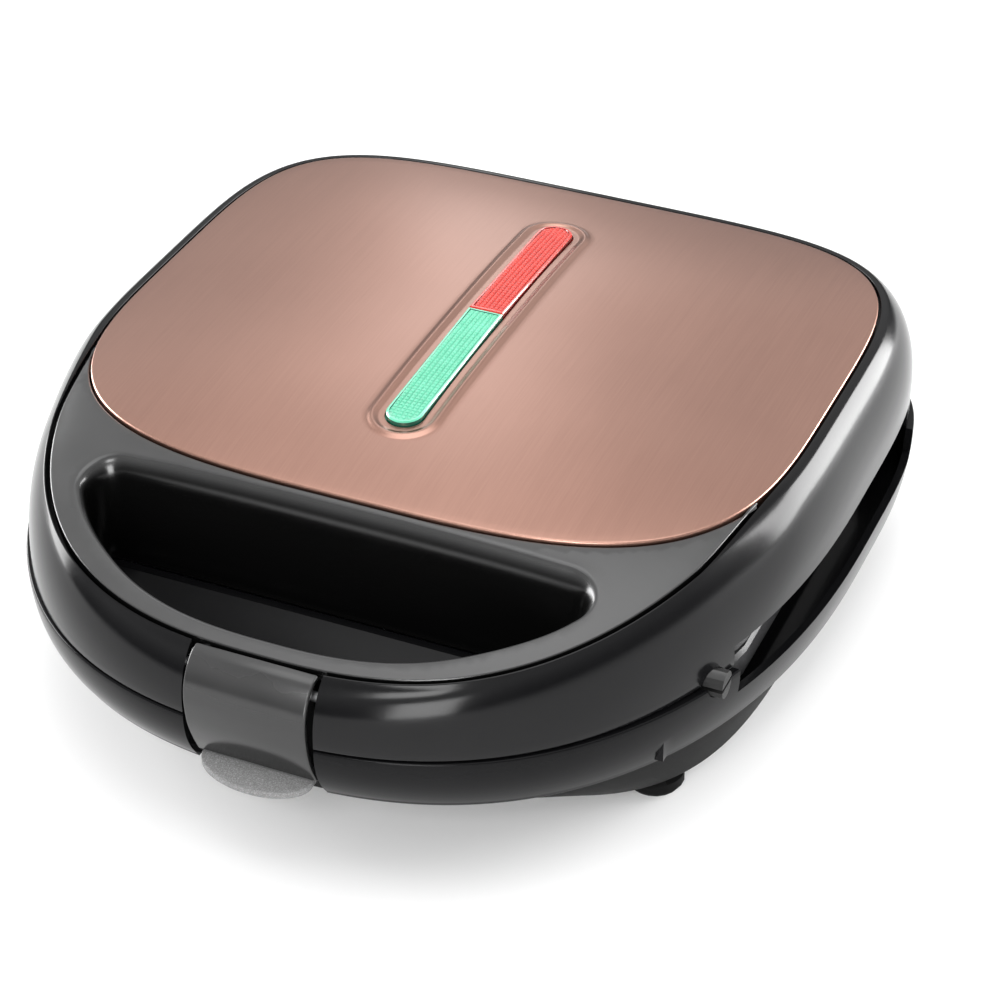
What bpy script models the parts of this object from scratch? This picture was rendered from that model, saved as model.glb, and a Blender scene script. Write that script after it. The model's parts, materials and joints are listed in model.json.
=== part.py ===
"""A sandwich and waffle maker, modelled closed, in metres with +Z up.

The origin is on the table under the middle of the object. The handle and the latch
are at the front, towards -Y, and the lid hinges at the back, towards +Y.
"""

import math
from dataclasses import dataclass

import bmesh
import bpy
from mathutils import Matrix, Vector

# Clearances, walls and the overrun of every cutter
GAP = 0.0003
WALL = 0.0024
SHEET = 0.0008
OVERRUN = 0.006

# The sizes that lead: the lid from above, the parting plane and the lid's height over it
LID_HALF_WIDTH = 0.1244
LID_FRONT = -0.1350
LID_MIDDLE = 0.0300
LID_BACK = 0.1370
PARTING = 0.0466
PARTING_GAP = 0.0006
LID_HEIGHT = 0.0434
CROWN_TOP = PARTING + LID_HEIGHT
CROWN_DROP = 0.0060
CROWN_POWER = 2.4

# Panel, groove and base seen from above, with their margins from the lid's outline
PANEL_SIDE_MARGIN = 0.0124
PANEL_BACK_MARGIN = 0.0118
HANDLE_DEPTH = 0.0667
PANEL_HALF_WIDTH = LID_HALF_WIDTH - PANEL_SIDE_MARGIN
PANEL_FRONT = LID_FRONT + HANDLE_DEPTH
PANEL_MIDDLE = 0.0285
PANEL_BACK = LID_BACK - PANEL_BACK_MARGIN
GROOVE_MARGIN = 0.0093
GROOVE_FRONT = LID_FRONT + GROOVE_MARGIN
GROOVE_MIDDLE = 0.0270
BASE_SIDE_STEP = 0.0030
BASE_BACK_MARGIN = 0.0035
BASE_HALF_WIDTH = LID_HALF_WIDTH + BASE_SIDE_STEP
BASE_FRONT = LID_FRONT
BASE_MIDDLE = 0.0340
BASE_BACK = LID_BACK - BASE_BACK_MARGIN
SKIN_FRONT_TUCK = 0.0070
SKIN_SIDE_TUCK = 0.0021

# How square each half outline is: 2 is an ellipse, more is squarer
PANEL_FRONT_SQUARENESS = 3.42
PANEL_BACK_SQUARENESS = 4.72
GROOVE_SQUARENESS = 2.63
LID_FRONT_SQUARENESS = 2.38
LID_BACK_SQUARENESS = 4.3
BASE_BACK_SQUARENESS = 4.0
TUB_SQUARENESS = 4.0

# Heights of the groove, the skin's foot and the tub
GROOVE_SIDE_DROP = 0.0076
GROOVE_SIDE_HEIGHT = CROWN_TOP - GROOVE_SIDE_DROP
GROOVE_FRONT_DROP = 0.0151
GROOVE_POWER = 2.58
SKIN_DROP = 0.0206
SKIN_LOW = PARTING - SKIN_DROP
TUB_FLOOR = 0.0050
TUB_EDGE_RISE = 0.0030
TUB_EDGE = TUB_FLOOR + TUB_EDGE_RISE
TUB_SHOULDER_RISE = 0.0110
TUB_SHOULDER = TUB_FLOOR + TUB_SHOULDER_RISE

# Lid shell: the band round the panel and the recess that the panel lies in
BAND_WIDTH = 0.0032
BAND_DROP = 0.0009
GROOVE_LIP = 0.0007
PANEL_REVEAL = 0.0008
RECESS_DEPTH = 0.0042
DECK_THICKNESS = 0.0030
PANEL_SKIRT = 0.0036
PANEL_EDGE_ROUND = 0.0006
RING_STEPS = 48
SHOULDER_ANGLES = (65, 52, 39, 26, 13, 0)
SHOULDER_RISE_FRONT = 0.0034
SHOULDER_RISE_BACK = 0.0124
SHOULDER_START_FRONT = PARTING + SHOULDER_RISE_FRONT
SHOULDER_START_BACK = PARTING + SHOULDER_RISE_BACK
DECK_TIP_ANGLE = 20
BLEND_ANGLES = (12, 27)

# Rear step and the hinge
REAR_STEP_MARGIN = 0.0330
REAR_STEP_Y = LID_BACK - REAR_STEP_MARGIN
HINGE_MARGIN = 0.0110
HINGE_RISE = 0.0034
HINGE_Y = LID_BACK - HINGE_MARGIN
HINGE_Z = PARTING + HINGE_RISE
LID_REAR_EDGE = HINGE_Z
BASE_REAR_DROP = 0.0118
BASE_REAR_EDGE = PARTING - BASE_REAR_DROP
HINGE_ARM_X = 0.0660
HINGE_ARM_WIDTH = 0.0120
HINGE_ARM_RADIUS = 0.0050
HINGE_ARM_LENGTH = 0.0150
HINGE_PILLAR_DEPTH = 0.0080
HINGE_EAR_WIDTH = 0.0040
HINGE_EAR_DEPTH = 0.0240
HINGE_EAR_DROP = 0.0165
HINGE_EAR_TOP = CROWN_TOP - HINGE_EAR_DROP
PIN_RADIUS = 0.0020
PIN_HEAD_RADIUS = 0.0032
PIN_HEAD_THICKNESS = 0.0015
ROUND_STEPS = 8

# Finger scoop in the handle
SCOOP_SIDE_MARGIN = 0.0254
SCOOP_FRONT_MARGIN = 0.0163
SCOOP_REAR_MARGIN = 0.0047
SCOOP_HALF_WIDTH = LID_HALF_WIDTH - SCOOP_SIDE_MARGIN
SCOOP_FRONT = LID_FRONT + SCOOP_FRONT_MARGIN
SCOOP_REAR = PANEL_FRONT - SCOOP_REAR_MARGIN
SCOOP_CORNER = 0.0070
SCOOP_LEAN = 0.0040
SCOOP_WALL = 0.0022
SCOOP_PROBE_ANGLE = 0.0001
APRON_SETBACK = 0.0059
APRON_REAR = SCOOP_REAR - APRON_SETBACK
APRON_DISH = 0.0065

# Latch: half width, pivot, and the outer face's places behind the lid's front
LATCH_HALF_WIDTH = 0.0188
LATCH_SIDE_GAP = 0.0015
LATCH_NOTCH_DEPTH = 0.0135
LATCH_NOTCH_Y = LID_FRONT + LATCH_NOTCH_DEPTH
LATCH_PIN_FORWARD = 0.0068
LATCH_PIN_Y = LATCH_NOTCH_Y - LATCH_PIN_FORWARD
LATCH_PIN_RADIUS = 0.0015
LATCH_BOSS_RADIUS = 0.0025
LATCH_COVER = 0.0020
LATCH_TOP_DROP = 0.0230
LATCH_PIN_DROP = 0.0060
LATCH_BOTTOM_DROP = 0.0150
LATCH_TOP = CROWN_TOP - LATCH_TOP_DROP
LATCH_PIN_Z = LATCH_TOP - LATCH_PIN_DROP
LATCH_BOTTOM = PARTING - LATCH_BOTTOM_DROP
LATCH_TOP_INSET = 0.0088
LATCH_BULGE = 0.0009
LATCH_BOTTOM_INSET = 0.0052
LATCH_TOP_Y = LID_FRONT + LATCH_TOP_INSET
LATCH_BULGE_Y = LID_FRONT - LATCH_BULGE
LATCH_BOTTOM_Y = LID_FRONT + LATCH_BOTTOM_INSET
CHEEK = 0.0026
TAB_HALF_WIDTH = 0.0172
TAB_REACH = 0.0020
TAB_TIP_Y = LID_FRONT - TAB_REACH
TAB_DROP = 0.0025
TAB_THICKNESS = 0.0020
KEEPER_FORWARD = 0.0020
KEEPER_WALL_Y = LATCH_NOTCH_Y - KEEPER_FORWARD
KEEPER_LIP_DEPTH = 0.0024
KEEPER_LIP_HEIGHT = 0.0025
KEEPER_LIP_DROP = 0.0081
KEEPER_LIP_Z = PARTING - KEEPER_LIP_DROP
KEEPER_HALF_WIDTH = 0.0120
HOOK_HEIGHT = 0.0030
HOOK_REACH = 0.0020

# Indicator strip in the middle of the panel
STRIP_FRONT_MARGIN = 0.0339
STRIP_BACK_MARGIN = 0.0330
GREEN_LENGTH = 0.0650
STRIP_FRONT = PANEL_FRONT + STRIP_FRONT_MARGIN
STRIP_JOINT = STRIP_FRONT + GREEN_LENGTH
STRIP_BACK = PANEL_BACK - STRIP_BACK_MARGIN
LENS_HALF_WIDTH = 0.00575
LENS_RISE = 0.0016
LENS_FLANGE = 0.0012
LENS_TIP_SHARE = 0.06
EMBOSS_RISE = 0.0007
EMBOSS_OFFSETS = (0.0023, 0.0036, 0.0046, 0.0060)
CARRIER_HALF_WIDTH = 0.0085
CARRIER_DEPTH = 0.0130
CARRIER_FLANGE = 0.0030
LAMP_RADIUS = 0.0026
LAMP_LENGTH = 0.0180

# Cooking plates, measured away from the parting plane for both halves
PLATE_SIDE_MARGIN = 0.0108
PLATE_FRONT_MARGIN = 0.0113
PLATE_BACK_MARGIN = 0.0200
PLATE_HALF_WIDTH = LID_HALF_WIDTH - PLATE_SIDE_MARGIN
PLATE_FRONT = PANEL_FRONT + PLATE_FRONT_MARGIN
PLATE_BACK = REAR_STEP_Y - PLATE_BACK_MARGIN
PLATE_CORNER = 0.0150
PLATE_FACE = 0.0011
PLATE_DEPTH = 0.0103
PLATE_DRAFT = 0.0010
PLATE_WEB = 0.0032
PLATE_RIM = 0.0060
BED_DIVIDER = 0.0100
STUD_COLUMNS = 4
STUD_ROWS = 5
STUD_GAP = 0.0065
STUD_SLOPE = 0.0022
STUD_DROP = 0.0011
TAB_LENGTH = 0.0040
TAB_HEIGHT = 0.0026
HOOK_X = 0.0700
HOOK_WIDTH = 0.0080
HOOK_SHEET = 0.0020

# Side slots that show the plates' edges
SLOT_FRONT_INSET = 0.0040
SLOT_BACK_OUTSET = 0.0020
SLOT_RISE = 0.0074
SLOT_DROP = 0.0086
SLOT_FRONT = PLATE_FRONT + SLOT_FRONT_INSET
SLOT_BACK = PLATE_BACK + SLOT_BACK_OUTSET
SLOT_TOP = PARTING + SLOT_RISE
SLOT_BOTTOM = PARTING - SLOT_DROP
SLOT_DEPTH = 0.0400

# Heating element, reflector and what holds them
BOWL_SIDE_MARGIN = 0.0136
BOWL_FRONT_MARGIN = 0.0030
BOWL_BACK_MARGIN = 0.0020
BOWL_HALF_WIDTH = PLATE_HALF_WIDTH - BOWL_SIDE_MARGIN
BOWL_FRONT = PLATE_FRONT + BOWL_FRONT_MARGIN
BOWL_BACK = PLATE_BACK - BOWL_BACK_MARGIN
BOWL_CORNER = 0.0160
BOWL_DEPTH = 0.0085
ELEMENT_RADIUS = 0.0033
ELEMENT_SIDE_MARGIN = 0.0150
ELEMENT_FRONT_MARGIN = 0.0170
ELEMENT_BACK_MARGIN = 0.0160
ELEMENT_HALF_WIDTH = BOWL_HALF_WIDTH - ELEMENT_SIDE_MARGIN
ELEMENT_FRONT = PLATE_FRONT + ELEMENT_FRONT_MARGIN
ELEMENT_BACK = PLATE_BACK - ELEMENT_BACK_MARGIN
ELEMENT_BEND = 0.0180
LEAD_X = 0.0120
LEAD_BACK_MARGIN = 0.0063
LEAD_BACK = REAR_STEP_Y - LEAD_BACK_MARGIN
STAND_X = 0.0500
STAND_SIZE = 0.0080
FLANGE_LIFT = 0.0038
FLANGE_SIDE_MARGIN = 0.0051
FLANGE_FRONT_OUTSET = 0.0110
FLANGE_BACK_OUTSET = 0.0100
FLANGE_FRONT = PLATE_FRONT - FLANGE_FRONT_OUTSET
FLANGE_BACK = PLATE_BACK + FLANGE_BACK_OUTSET
FLANGE_HALF_WIDTH = PLATE_HALF_WIDTH - FLANGE_SIDE_MARGIN
LEAD_NOTCH = 0.0180
BLOCK_LENGTH = 0.0300
BLOCK_DEPTH = 0.0110
BLOCK_HEIGHT = 0.0053
SCREW_SIDE_MARGIN = 0.0048
SCREW_FRONT_MARGIN = 0.0190
SCREW_BACK_MARGIN = 0.0120
SCREW_X = FLANGE_HALF_WIDTH - SCREW_SIDE_MARGIN
SCREW_FRONT = PLATE_FRONT + SCREW_FRONT_MARGIN
SCREW_BACK = PLATE_BACK - SCREW_BACK_MARGIN
SCREW_RADIUS = 0.0015
SCREW_HEAD_RADIUS = 0.0030
SCREW_HEAD = 0.0015
SCREW_LENGTH = 0.0100
POST_RADIUS = 0.0038
THERMOSTAT_RADIUS = 0.0070
THERMOSTAT_Y = (PLATE_FRONT + PLATE_BACK) / 2
FUSE_X = 0.0450
FUSE_RADIUS = 0.0020
FUSE_LENGTH = 0.0160

# Plate release on the right-hand side
RELEASE_FORWARD = 0.0045
RELEASE_Y = PLATE_FRONT - RELEASE_FORWARD
RELEASE_RADIUS = 0.0039
RELEASE_TIP_MARGIN = 0.0129
RELEASE_KNOB_LENGTH = 0.0103
RELEASE_BAR_LENGTH = 0.0142
RELEASE_TIP = BASE_HALF_WIDTH - RELEASE_TIP_MARGIN
RELEASE_NECK = RELEASE_TIP - RELEASE_KNOB_LENGTH
RELEASE_INNER = RELEASE_NECK - RELEASE_BAR_LENGTH
RELEASE_TRAVEL = 0.0030
RELEASE_BAR_DEPTH = 0.0036
RELEASE_LIP = 0.0026
SPRING_RADIUS = 0.0018
SPRING_WIRE = 0.00035
SPRING_TURNS = 5
SPRING_LENGTH = 0.0095
SPRING_STOP = 0.0015

# Base: deck inside the skin, tub, feet, bottom screws and the cord gland
DECK_DROP = 0.0162
DECK_TOP = PARTING - DECK_DROP
TUB_SHOULDER_SIDE_MARGIN = 0.0106
TUB_SHOULDER_FRONT_MARGIN = 0.0310
TUB_SIDE_MARGIN = 0.0144
TUB_FRONT_MARGIN = 0.0470
TUB_BACK_MARGIN = 0.0095
TUB_SHOULDER_HALF_WIDTH = BASE_HALF_WIDTH - TUB_SHOULDER_SIDE_MARGIN
TUB_SHOULDER_FRONT = BASE_FRONT + TUB_SHOULDER_FRONT_MARGIN
TUB_HALF_WIDTH = BASE_HALF_WIDTH - TUB_SIDE_MARGIN
TUB_FRONT = BASE_FRONT + TUB_FRONT_MARGIN
TUB_BACK = BASE_BACK - TUB_BACK_MARGIN
TUB_FLOOR_INSET = 0.0060
FOOT_SIDE_MARGIN = 0.0210
FOOT_END_MARGIN = 0.0320
FOOT_X = TUB_HALF_WIDTH - FOOT_SIDE_MARGIN
FOOT_FRONT = TUB_FRONT + FOOT_END_MARGIN
FOOT_BACK = TUB_BACK - FOOT_END_MARGIN
FOOT_RADIUS = 0.0090
FOOT_STEM = 0.0030
BOTTOM_SCREW_FRONT_SIDE = 0.0530
BOTTOM_SCREW_BACK_SIDE = 0.0330
BOTTOM_SCREW_FRONT_MARGIN = 0.0190
BOTTOM_SCREW_BACK_MARGIN = 0.0260
BOTTOM_SCREW_FRONT_X = TUB_HALF_WIDTH - BOTTOM_SCREW_FRONT_SIDE
BOTTOM_SCREW_FRONT = TUB_FRONT + BOTTOM_SCREW_FRONT_MARGIN
BOTTOM_SCREW_BACK_X = TUB_HALF_WIDTH - BOTTOM_SCREW_BACK_SIDE
BOTTOM_SCREW_BACK = TUB_BACK - BOTTOM_SCREW_BACK_MARGIN
BOTTOM_SCREW_LENGTH = 0.0150
GLAND_X = -0.0300
GLAND_DROP = 0.0060
GLAND_Z = SKIN_LOW - GLAND_DROP
GLAND_RADIUS = 0.0052
GLAND_FLANGE = 0.0075
GLAND_LENGTH = 0.0130

MATERIALS = {
    "gloss_black": ((0.010, 0.010, 0.011), 0.12, 0.0),
    "satin_black": ((0.022, 0.022, 0.023), 0.38, 0.0),
    "copper": ((0.47, 0.27, 0.21), 0.34, 1.0),
    "red_lens": ((0.62, 0.03, 0.02), 0.12, 0.0),
    "green_lens": ((0.10, 0.55, 0.34), 0.12, 0.0),
    "lamp_glass": ((0.85, 0.55, 0.35), 0.10, 0.0),
    "non_stick": ((0.035, 0.035, 0.037), 0.55, 0.3),
    "bare_metal": ((0.60, 0.60, 0.61), 0.32, 1.0),
    "dark_plastic": ((0.018, 0.018, 0.018), 0.60, 0.0),
    "ceramic": ((0.75, 0.72, 0.66), 0.60, 0.0),
    "rubber": ((0.015, 0.015, 0.015), 0.85, 0.0),
}


def clear_scene():
    for thing in list(bpy.data.objects):
        bpy.data.objects.remove(thing, do_unlink=True)


def make_material(name):
    colour, roughness, metallic = MATERIALS[name]
    material = bpy.data.materials.new(name)
    material.use_nodes = True
    shader = material.node_tree.nodes["Principled BSDF"]
    shader.inputs["Base Color"].default_value = (*colour, 1.0)
    shader.inputs["Roughness"].default_value = roughness
    shader.inputs["Metallic"].default_value = metallic
    return material


def material_named(name):
    return bpy.data.materials.get(name) or make_material(name)


def mix(start, end, share):
    return start + (end - start) * share


def smooth_share(value, low, high):
    share = min(max((value - low) / (high - low), 0.0), 1.0)
    return share * share * (3 - 2 * share)


@dataclass(frozen=True)
class Outline:
    """Two half ovals that share a width, the front one and the back one."""

    half_width: float
    front: float
    middle: float
    back: float
    front_squareness: float
    back_squareness: float

    def half(self, towards_back):
        if towards_back:
            return self.back - self.middle, self.back_squareness
        return self.middle - self.front, self.front_squareness

    def point(self, angle):
        across, along = math.cos(angle), math.sin(angle)
        depth, squareness = self.half(along >= 0)
        x = math.copysign(self.half_width * abs(across) ** (2 / squareness), across)
        y = self.middle + math.copysign(depth * abs(along) ** (2 / squareness), along)
        return x, y

    def reach(self, x, y):
        """0 at the middle and 1 on the outline."""
        depth, squareness = self.half(y >= self.middle)
        across = abs(x / self.half_width) ** squareness
        along = abs((y - self.middle) / depth) ** squareness
        return (across + along) ** (1 / squareness)

    def ring(self, steps=RING_STEPS):
        return [self.point(math.tau * i / steps) for i in range(steps)]


PANEL = Outline(PANEL_HALF_WIDTH, PANEL_FRONT, PANEL_MIDDLE, PANEL_BACK,
                PANEL_FRONT_SQUARENESS, PANEL_BACK_SQUARENESS)
GROOVE = Outline(PANEL_HALF_WIDTH, GROOVE_FRONT, GROOVE_MIDDLE, PANEL_BACK,
                 GROOVE_SQUARENESS, PANEL_BACK_SQUARENESS)
LID = Outline(LID_HALF_WIDTH, LID_FRONT, LID_MIDDLE, LID_BACK,
              LID_FRONT_SQUARENESS, LID_BACK_SQUARENESS)
BASE = Outline(BASE_HALF_WIDTH, BASE_FRONT, BASE_MIDDLE, BASE_BACK,
               LID_FRONT_SQUARENESS, BASE_BACK_SQUARENESS)
SKIN_FOOT = Outline(BASE_HALF_WIDTH - SKIN_SIDE_TUCK, BASE_FRONT + SKIN_FRONT_TUCK, BASE_MIDDLE,
                    BASE_BACK - SKIN_SIDE_TUCK, LID_FRONT_SQUARENESS, BASE_BACK_SQUARENESS)
SCOOP_ARC = Outline(SCOOP_HALF_WIDTH, SCOOP_FRONT, GROOVE_MIDDLE, PANEL_BACK,
                    GROOVE_SQUARENESS, PANEL_BACK_SQUARENESS)


def grown(ring, distance):
    """The closed ring moved outwards by a distance, along its own normals."""
    count = len(ring)
    moved = []
    for i, (x, y) in enumerate(ring):
        before, after = ring[i - 1], ring[(i + 1) % count]
        along = Vector((after[0] - before[0], after[1] - before[1])).normalized()
        moved.append((x + along.y * distance, y - along.x * distance))
    return moved


def crown_height(x, y):
    """Top of the panel: highest in its middle, one height along its edge."""
    return CROWN_TOP - CROWN_DROP * min(PANEL.reach(x, y), 1.0) ** CROWN_POWER


def groove_height(y):
    depth_share = max(GROOVE_MIDDLE - y, 0.0) / (GROOVE_MIDDLE - GROOVE_FRONT)
    return GROOVE_SIDE_HEIGHT - GROOVE_FRONT_DROP * depth_share ** GROOVE_POWER


PANEL_EDGE_HEIGHT = CROWN_TOP - CROWN_DROP
LEAST_REACH = 0.05


def deck_height(x, y):
    """Top of the handle deck, falling from the panel's edge to the groove."""
    groove_reach = max(GROOVE.reach(x, y), LEAST_REACH)
    from_panel = max(PANEL.reach(x, y) - 1, 0.0) * (PANEL_MIDDLE - PANEL_FRONT)
    to_groove = max(1 - groove_reach, 0.0) * (GROOVE_MIDDLE - GROOVE_FRONT)
    share = from_panel / max(from_panel + to_groove, GAP * GAP)
    groove_y = GROOVE_MIDDLE + (y - GROOVE_MIDDLE) / groove_reach
    return mix(PANEL_EDGE_HEIGHT - PANEL_REVEAL, groove_height(groove_y), share)


def floor_height(x, y):
    """Floor of the lid shell's recess, under the panel and the handle deck."""
    if PANEL.reach(x, y) < 1:
        return crown_height(x, y) - RECESS_DEPTH
    return deck_height(x, y) - RECESS_DEPTH


def front_share(angle):
    """1 along the handle at the front, 0 along the sides and the back."""
    below = math.degrees(math.asin(max(-math.sin(angle), 0.0)))
    return smooth_share(below, *BLEND_ANGLES)


def opening_point(angle, clearance=0.0):
    """Edge of the lid shell's opening: the groove at the front, else round the panel."""
    share = front_share(angle)
    panel_x, panel_y = PANEL.point(angle)
    groove_x, groove_y = GROOVE.point(angle)
    outward = Vector((math.cos(angle), math.sin(angle))) * (PANEL_REVEAL - clearance)
    x = mix(panel_x, groove_x, share) + outward.x
    y = mix(panel_y, groove_y, share) + outward.y
    return x, y


def opening_height(angle):
    _, y = opening_point(angle)
    return mix(PANEL_EDGE_HEIGHT - PANEL_REVEAL / 2, groove_height(y), front_share(angle))


def finish(name, bm, material, merge=True):
    """Turns a bmesh into a named object with its faces out and round parts smooth."""
    if merge:
        bmesh.ops.remove_doubles(bm, verts=bm.verts, dist=GAP / 100)
        bmesh.ops.connect_verts_nonplanar(bm, angle_limit=math.radians(0.1), faces=bm.faces)
    bmesh.ops.recalc_face_normals(bm, faces=bm.faces)
    mesh = bpy.data.meshes.new(name)
    bm.to_mesh(mesh)
    bm.free()
    mesh.materials.append(material_named(material))
    mesh.shade_smooth()
    mesh.set_sharp_from_angle(angle=math.radians(35))
    thing = bpy.data.objects.new(name, mesh)
    bpy.context.scene.collection.objects.link(thing)
    return thing


def loft(name, rings, material, joined=False):
    """Skins rings of equal length: joined end to end like a tube ring, or capped."""
    bm = bmesh.new()
    layers = [[bm.verts.new(point) for point in ring] for ring in rings]
    following = layers[1:] + layers[:1] if joined else layers[1:]
    for low, high in zip(layers, following):
        for i in range(len(low)):
            j = (i + 1) % len(low)
            bm.faces.new((low[i], low[j], high[j], high[i]))
    if not joined:
        bm.faces.new(list(reversed(layers[0])))
        bm.faces.new(layers[-1])
    return finish(name, bm, material)


def at_height(ring, height):
    return [(x, y, height) for x, y in ring]


def prism(name, ring, low, high, material):
    return loft(name, [at_height(ring, low), at_height(ring, high)], material)


def box(name, low, high, material="dark_plastic"):
    ring = [(low[0], low[1]), (high[0], low[1]), (high[0], high[1]), (low[0], high[1])]
    return prism(name, ring, low[2], high[2], material)


def side_profile(name, profile, low_x, high_x, material):
    """Extrudes a profile of y, z points from one x to another."""
    rings = [[(x, y, z) for y, z in profile] for x in (low_x, high_x)]
    return loft(name, rings, material)


def turned(name, profile, material, centre=(0.0, 0.0, 0.0), axis="Z", sides=16):
    """Turns a profile of radius, height points round an axis through centre."""
    rings = []
    for radius, height in profile:
        ring = []
        for i in range(sides):
            angle = math.tau * (i + 0.5) / sides
            ring.append(Vector((radius * math.cos(angle), radius * math.sin(angle), height)))
        rings.append(ring)
    turns = {"Z": Matrix(), "X": Matrix.Rotation(math.pi / 2, 4, "Y"),
             "Y": Matrix.Rotation(-math.pi / 2, 4, "X")}
    place = Matrix.Translation(centre) @ turns[axis]
    return loft(name, [[place @ point for point in ring] for ring in rings], material)


def rod(name, radius, low, high, material, centre, axis="Z", sides=12):
    return turned(name, [(radius, low), (radius, high)], material, centre, axis, sides)


def rounded_rectangle(half_width, front, back, corner, steps=4):
    ring = []
    corners = ((1, front, -90), (1, back, 0), (-1, back, 90), (-1, front, 180))
    for side, y, start in corners:
        centre_x = side * (half_width - corner)
        centre_y = y + corner if y == front else y - corner
        for i in range(steps + 1):
            angle = math.radians(start + 90 * i / steps)
            ring.append((centre_x + corner * math.cos(angle), centre_y + corner * math.sin(angle)))
    return ring


def stadium(half_width, front, back, steps=RING_STEPS):
    """A strip with round ends, with its points in step with an outline's ring."""
    quarter = steps // 4
    straight = quarter // 3
    run = (back - front) / 2 - half_width
    centre = (front + back) / 2
    first = []
    for i in range(quarter):
        if i <= straight:
            first.append((half_width, run * i / straight))
        else:
            angle = math.pi / 2 * (i - straight) / (quarter - straight)
            first.append((half_width * math.cos(angle), run + half_width * math.sin(angle)))
    top = (0.0, run + half_width)
    right_back = first + [top]
    left_back = [(-x, y) for x, y in reversed(first)]
    left_front = [(x, -y) for x, y in reversed(left_back[:-1])]
    right_front = [(-x, y) for x, y in reversed(left_front)]
    ring = right_back + left_back + left_front + [(0.0, -run - half_width)] + right_front
    return [(x, centre + y) for x, y in ring]


def combine(target, other, operation):
    """Adds or cuts with another solid, which stays in the scene as a wire guide."""
    modifier = target.modifiers.new(other.name, "BOOLEAN")
    modifier.operation = operation
    modifier.solver = "EXACT"
    modifier.object = other
    other.hide_render = True
    other.display_type = "WIRE"
    return target


def cut(target, *cutters):
    for cutter in cutters:
        combine(target, cutter, "DIFFERENCE")
    return target


def add(target, *others):
    for other in others:
        combine(target, other, "UNION")
    return target


def scoop_ring():
    """The finger scoop at the deck: an arc at the front, a straight rear, round corners."""

    def inset_point(angle):
        x, y = SCOOP_ARC.point(angle)
        ahead_x, ahead_y = SCOOP_ARC.point(angle + SCOOP_PROBE_ANGLE)
        along = Vector((ahead_x - x, ahead_y - y)).normalized()
        return x - along.y * SCOOP_CORNER, y + along.x * SCOOP_CORNER

    low, high = math.radians(-89), math.radians(-5)
    for _ in range(40):
        angle = (low + high) / 2
        if inset_point(angle)[1] < SCOOP_REAR - SCOOP_CORNER:
            low = angle
        else:
            high = angle
    centre_x, centre_y = inset_point(angle)
    arc_steps, corner_steps = 9, 4
    right = [SCOOP_ARC.point(mix(-math.pi / 2, angle, i / arc_steps))
             for i in range(1, arc_steps + 1)]
    touch = math.atan2(right[-1][1] - centre_y, right[-1][0] - centre_x)
    for i in range(1, corner_steps + 1):
        turn = mix(touch, math.pi / 2, i / corner_steps)
        right.append((centre_x + SCOOP_CORNER * math.cos(turn),
                      centre_y + SCOOP_CORNER * math.sin(turn)))
    left = [(-x, y) for x, y in reversed(right)]
    return [(0.0, SCOOP_FRONT)] + right + [(0.0, SCOOP_REAR)] + left


def leaned(ring, height):
    """The scoop's ring at a height: its rear wall comes forward as it goes down."""
    top = PANEL_EDGE_HEIGHT
    per_height = SCOOP_LEAN / (top - PARTING)
    share = 1 - (top - height) * per_height / (SCOOP_REAR - SCOOP_FRONT)
    return [(x, SCOOP_FRONT + (y - SCOOP_FRONT) * share) for x, y in ring]


def over_the_crown(x, y):
    return CROWN_TOP + OVERRUN


def scoop_solid(name, growth, low, high_of, material="satin_black"):
    ring = grown(scoop_ring(), growth)
    top = [high_of(x, y) for x, y in ring]
    upper = [(*leaned([point], z)[0], z) for point, z in zip(ring, top)]
    return loft(name, [at_height(leaned(ring, low), low), upper], material)


def shoulder_ring(low_ring, top_ring, start_heights, top_heights, angle):
    """One ring of a convex wall between a top edge and an upright lower edge."""
    steepest = math.radians(SHOULDER_ANGLES[0])
    inward = (1 - math.cos(angle)) / (1 - math.cos(steepest))
    rise = math.sin(angle) / math.sin(steepest)
    return [(mix(low[0], top[0], inward), mix(low[1], top[1], inward), mix(start, height, rise))
            for low, top, start, height in zip(low_ring, top_ring, start_heights, top_heights)]


def inner_ring(outer, distance_in, distance_down):
    flat = grown([(x, y) for x, y, _ in outer], -distance_in)
    return [(x, y, point[2] - distance_down) for (x, y), point in zip(flat, outer)]


def strip_slot(growth):
    return stadium(CARRIER_HALF_WIDTH + growth, STRIP_FRONT - CARRIER_FLANGE - growth,
                   STRIP_BACK + CARRIER_FLANGE + growth)


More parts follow.
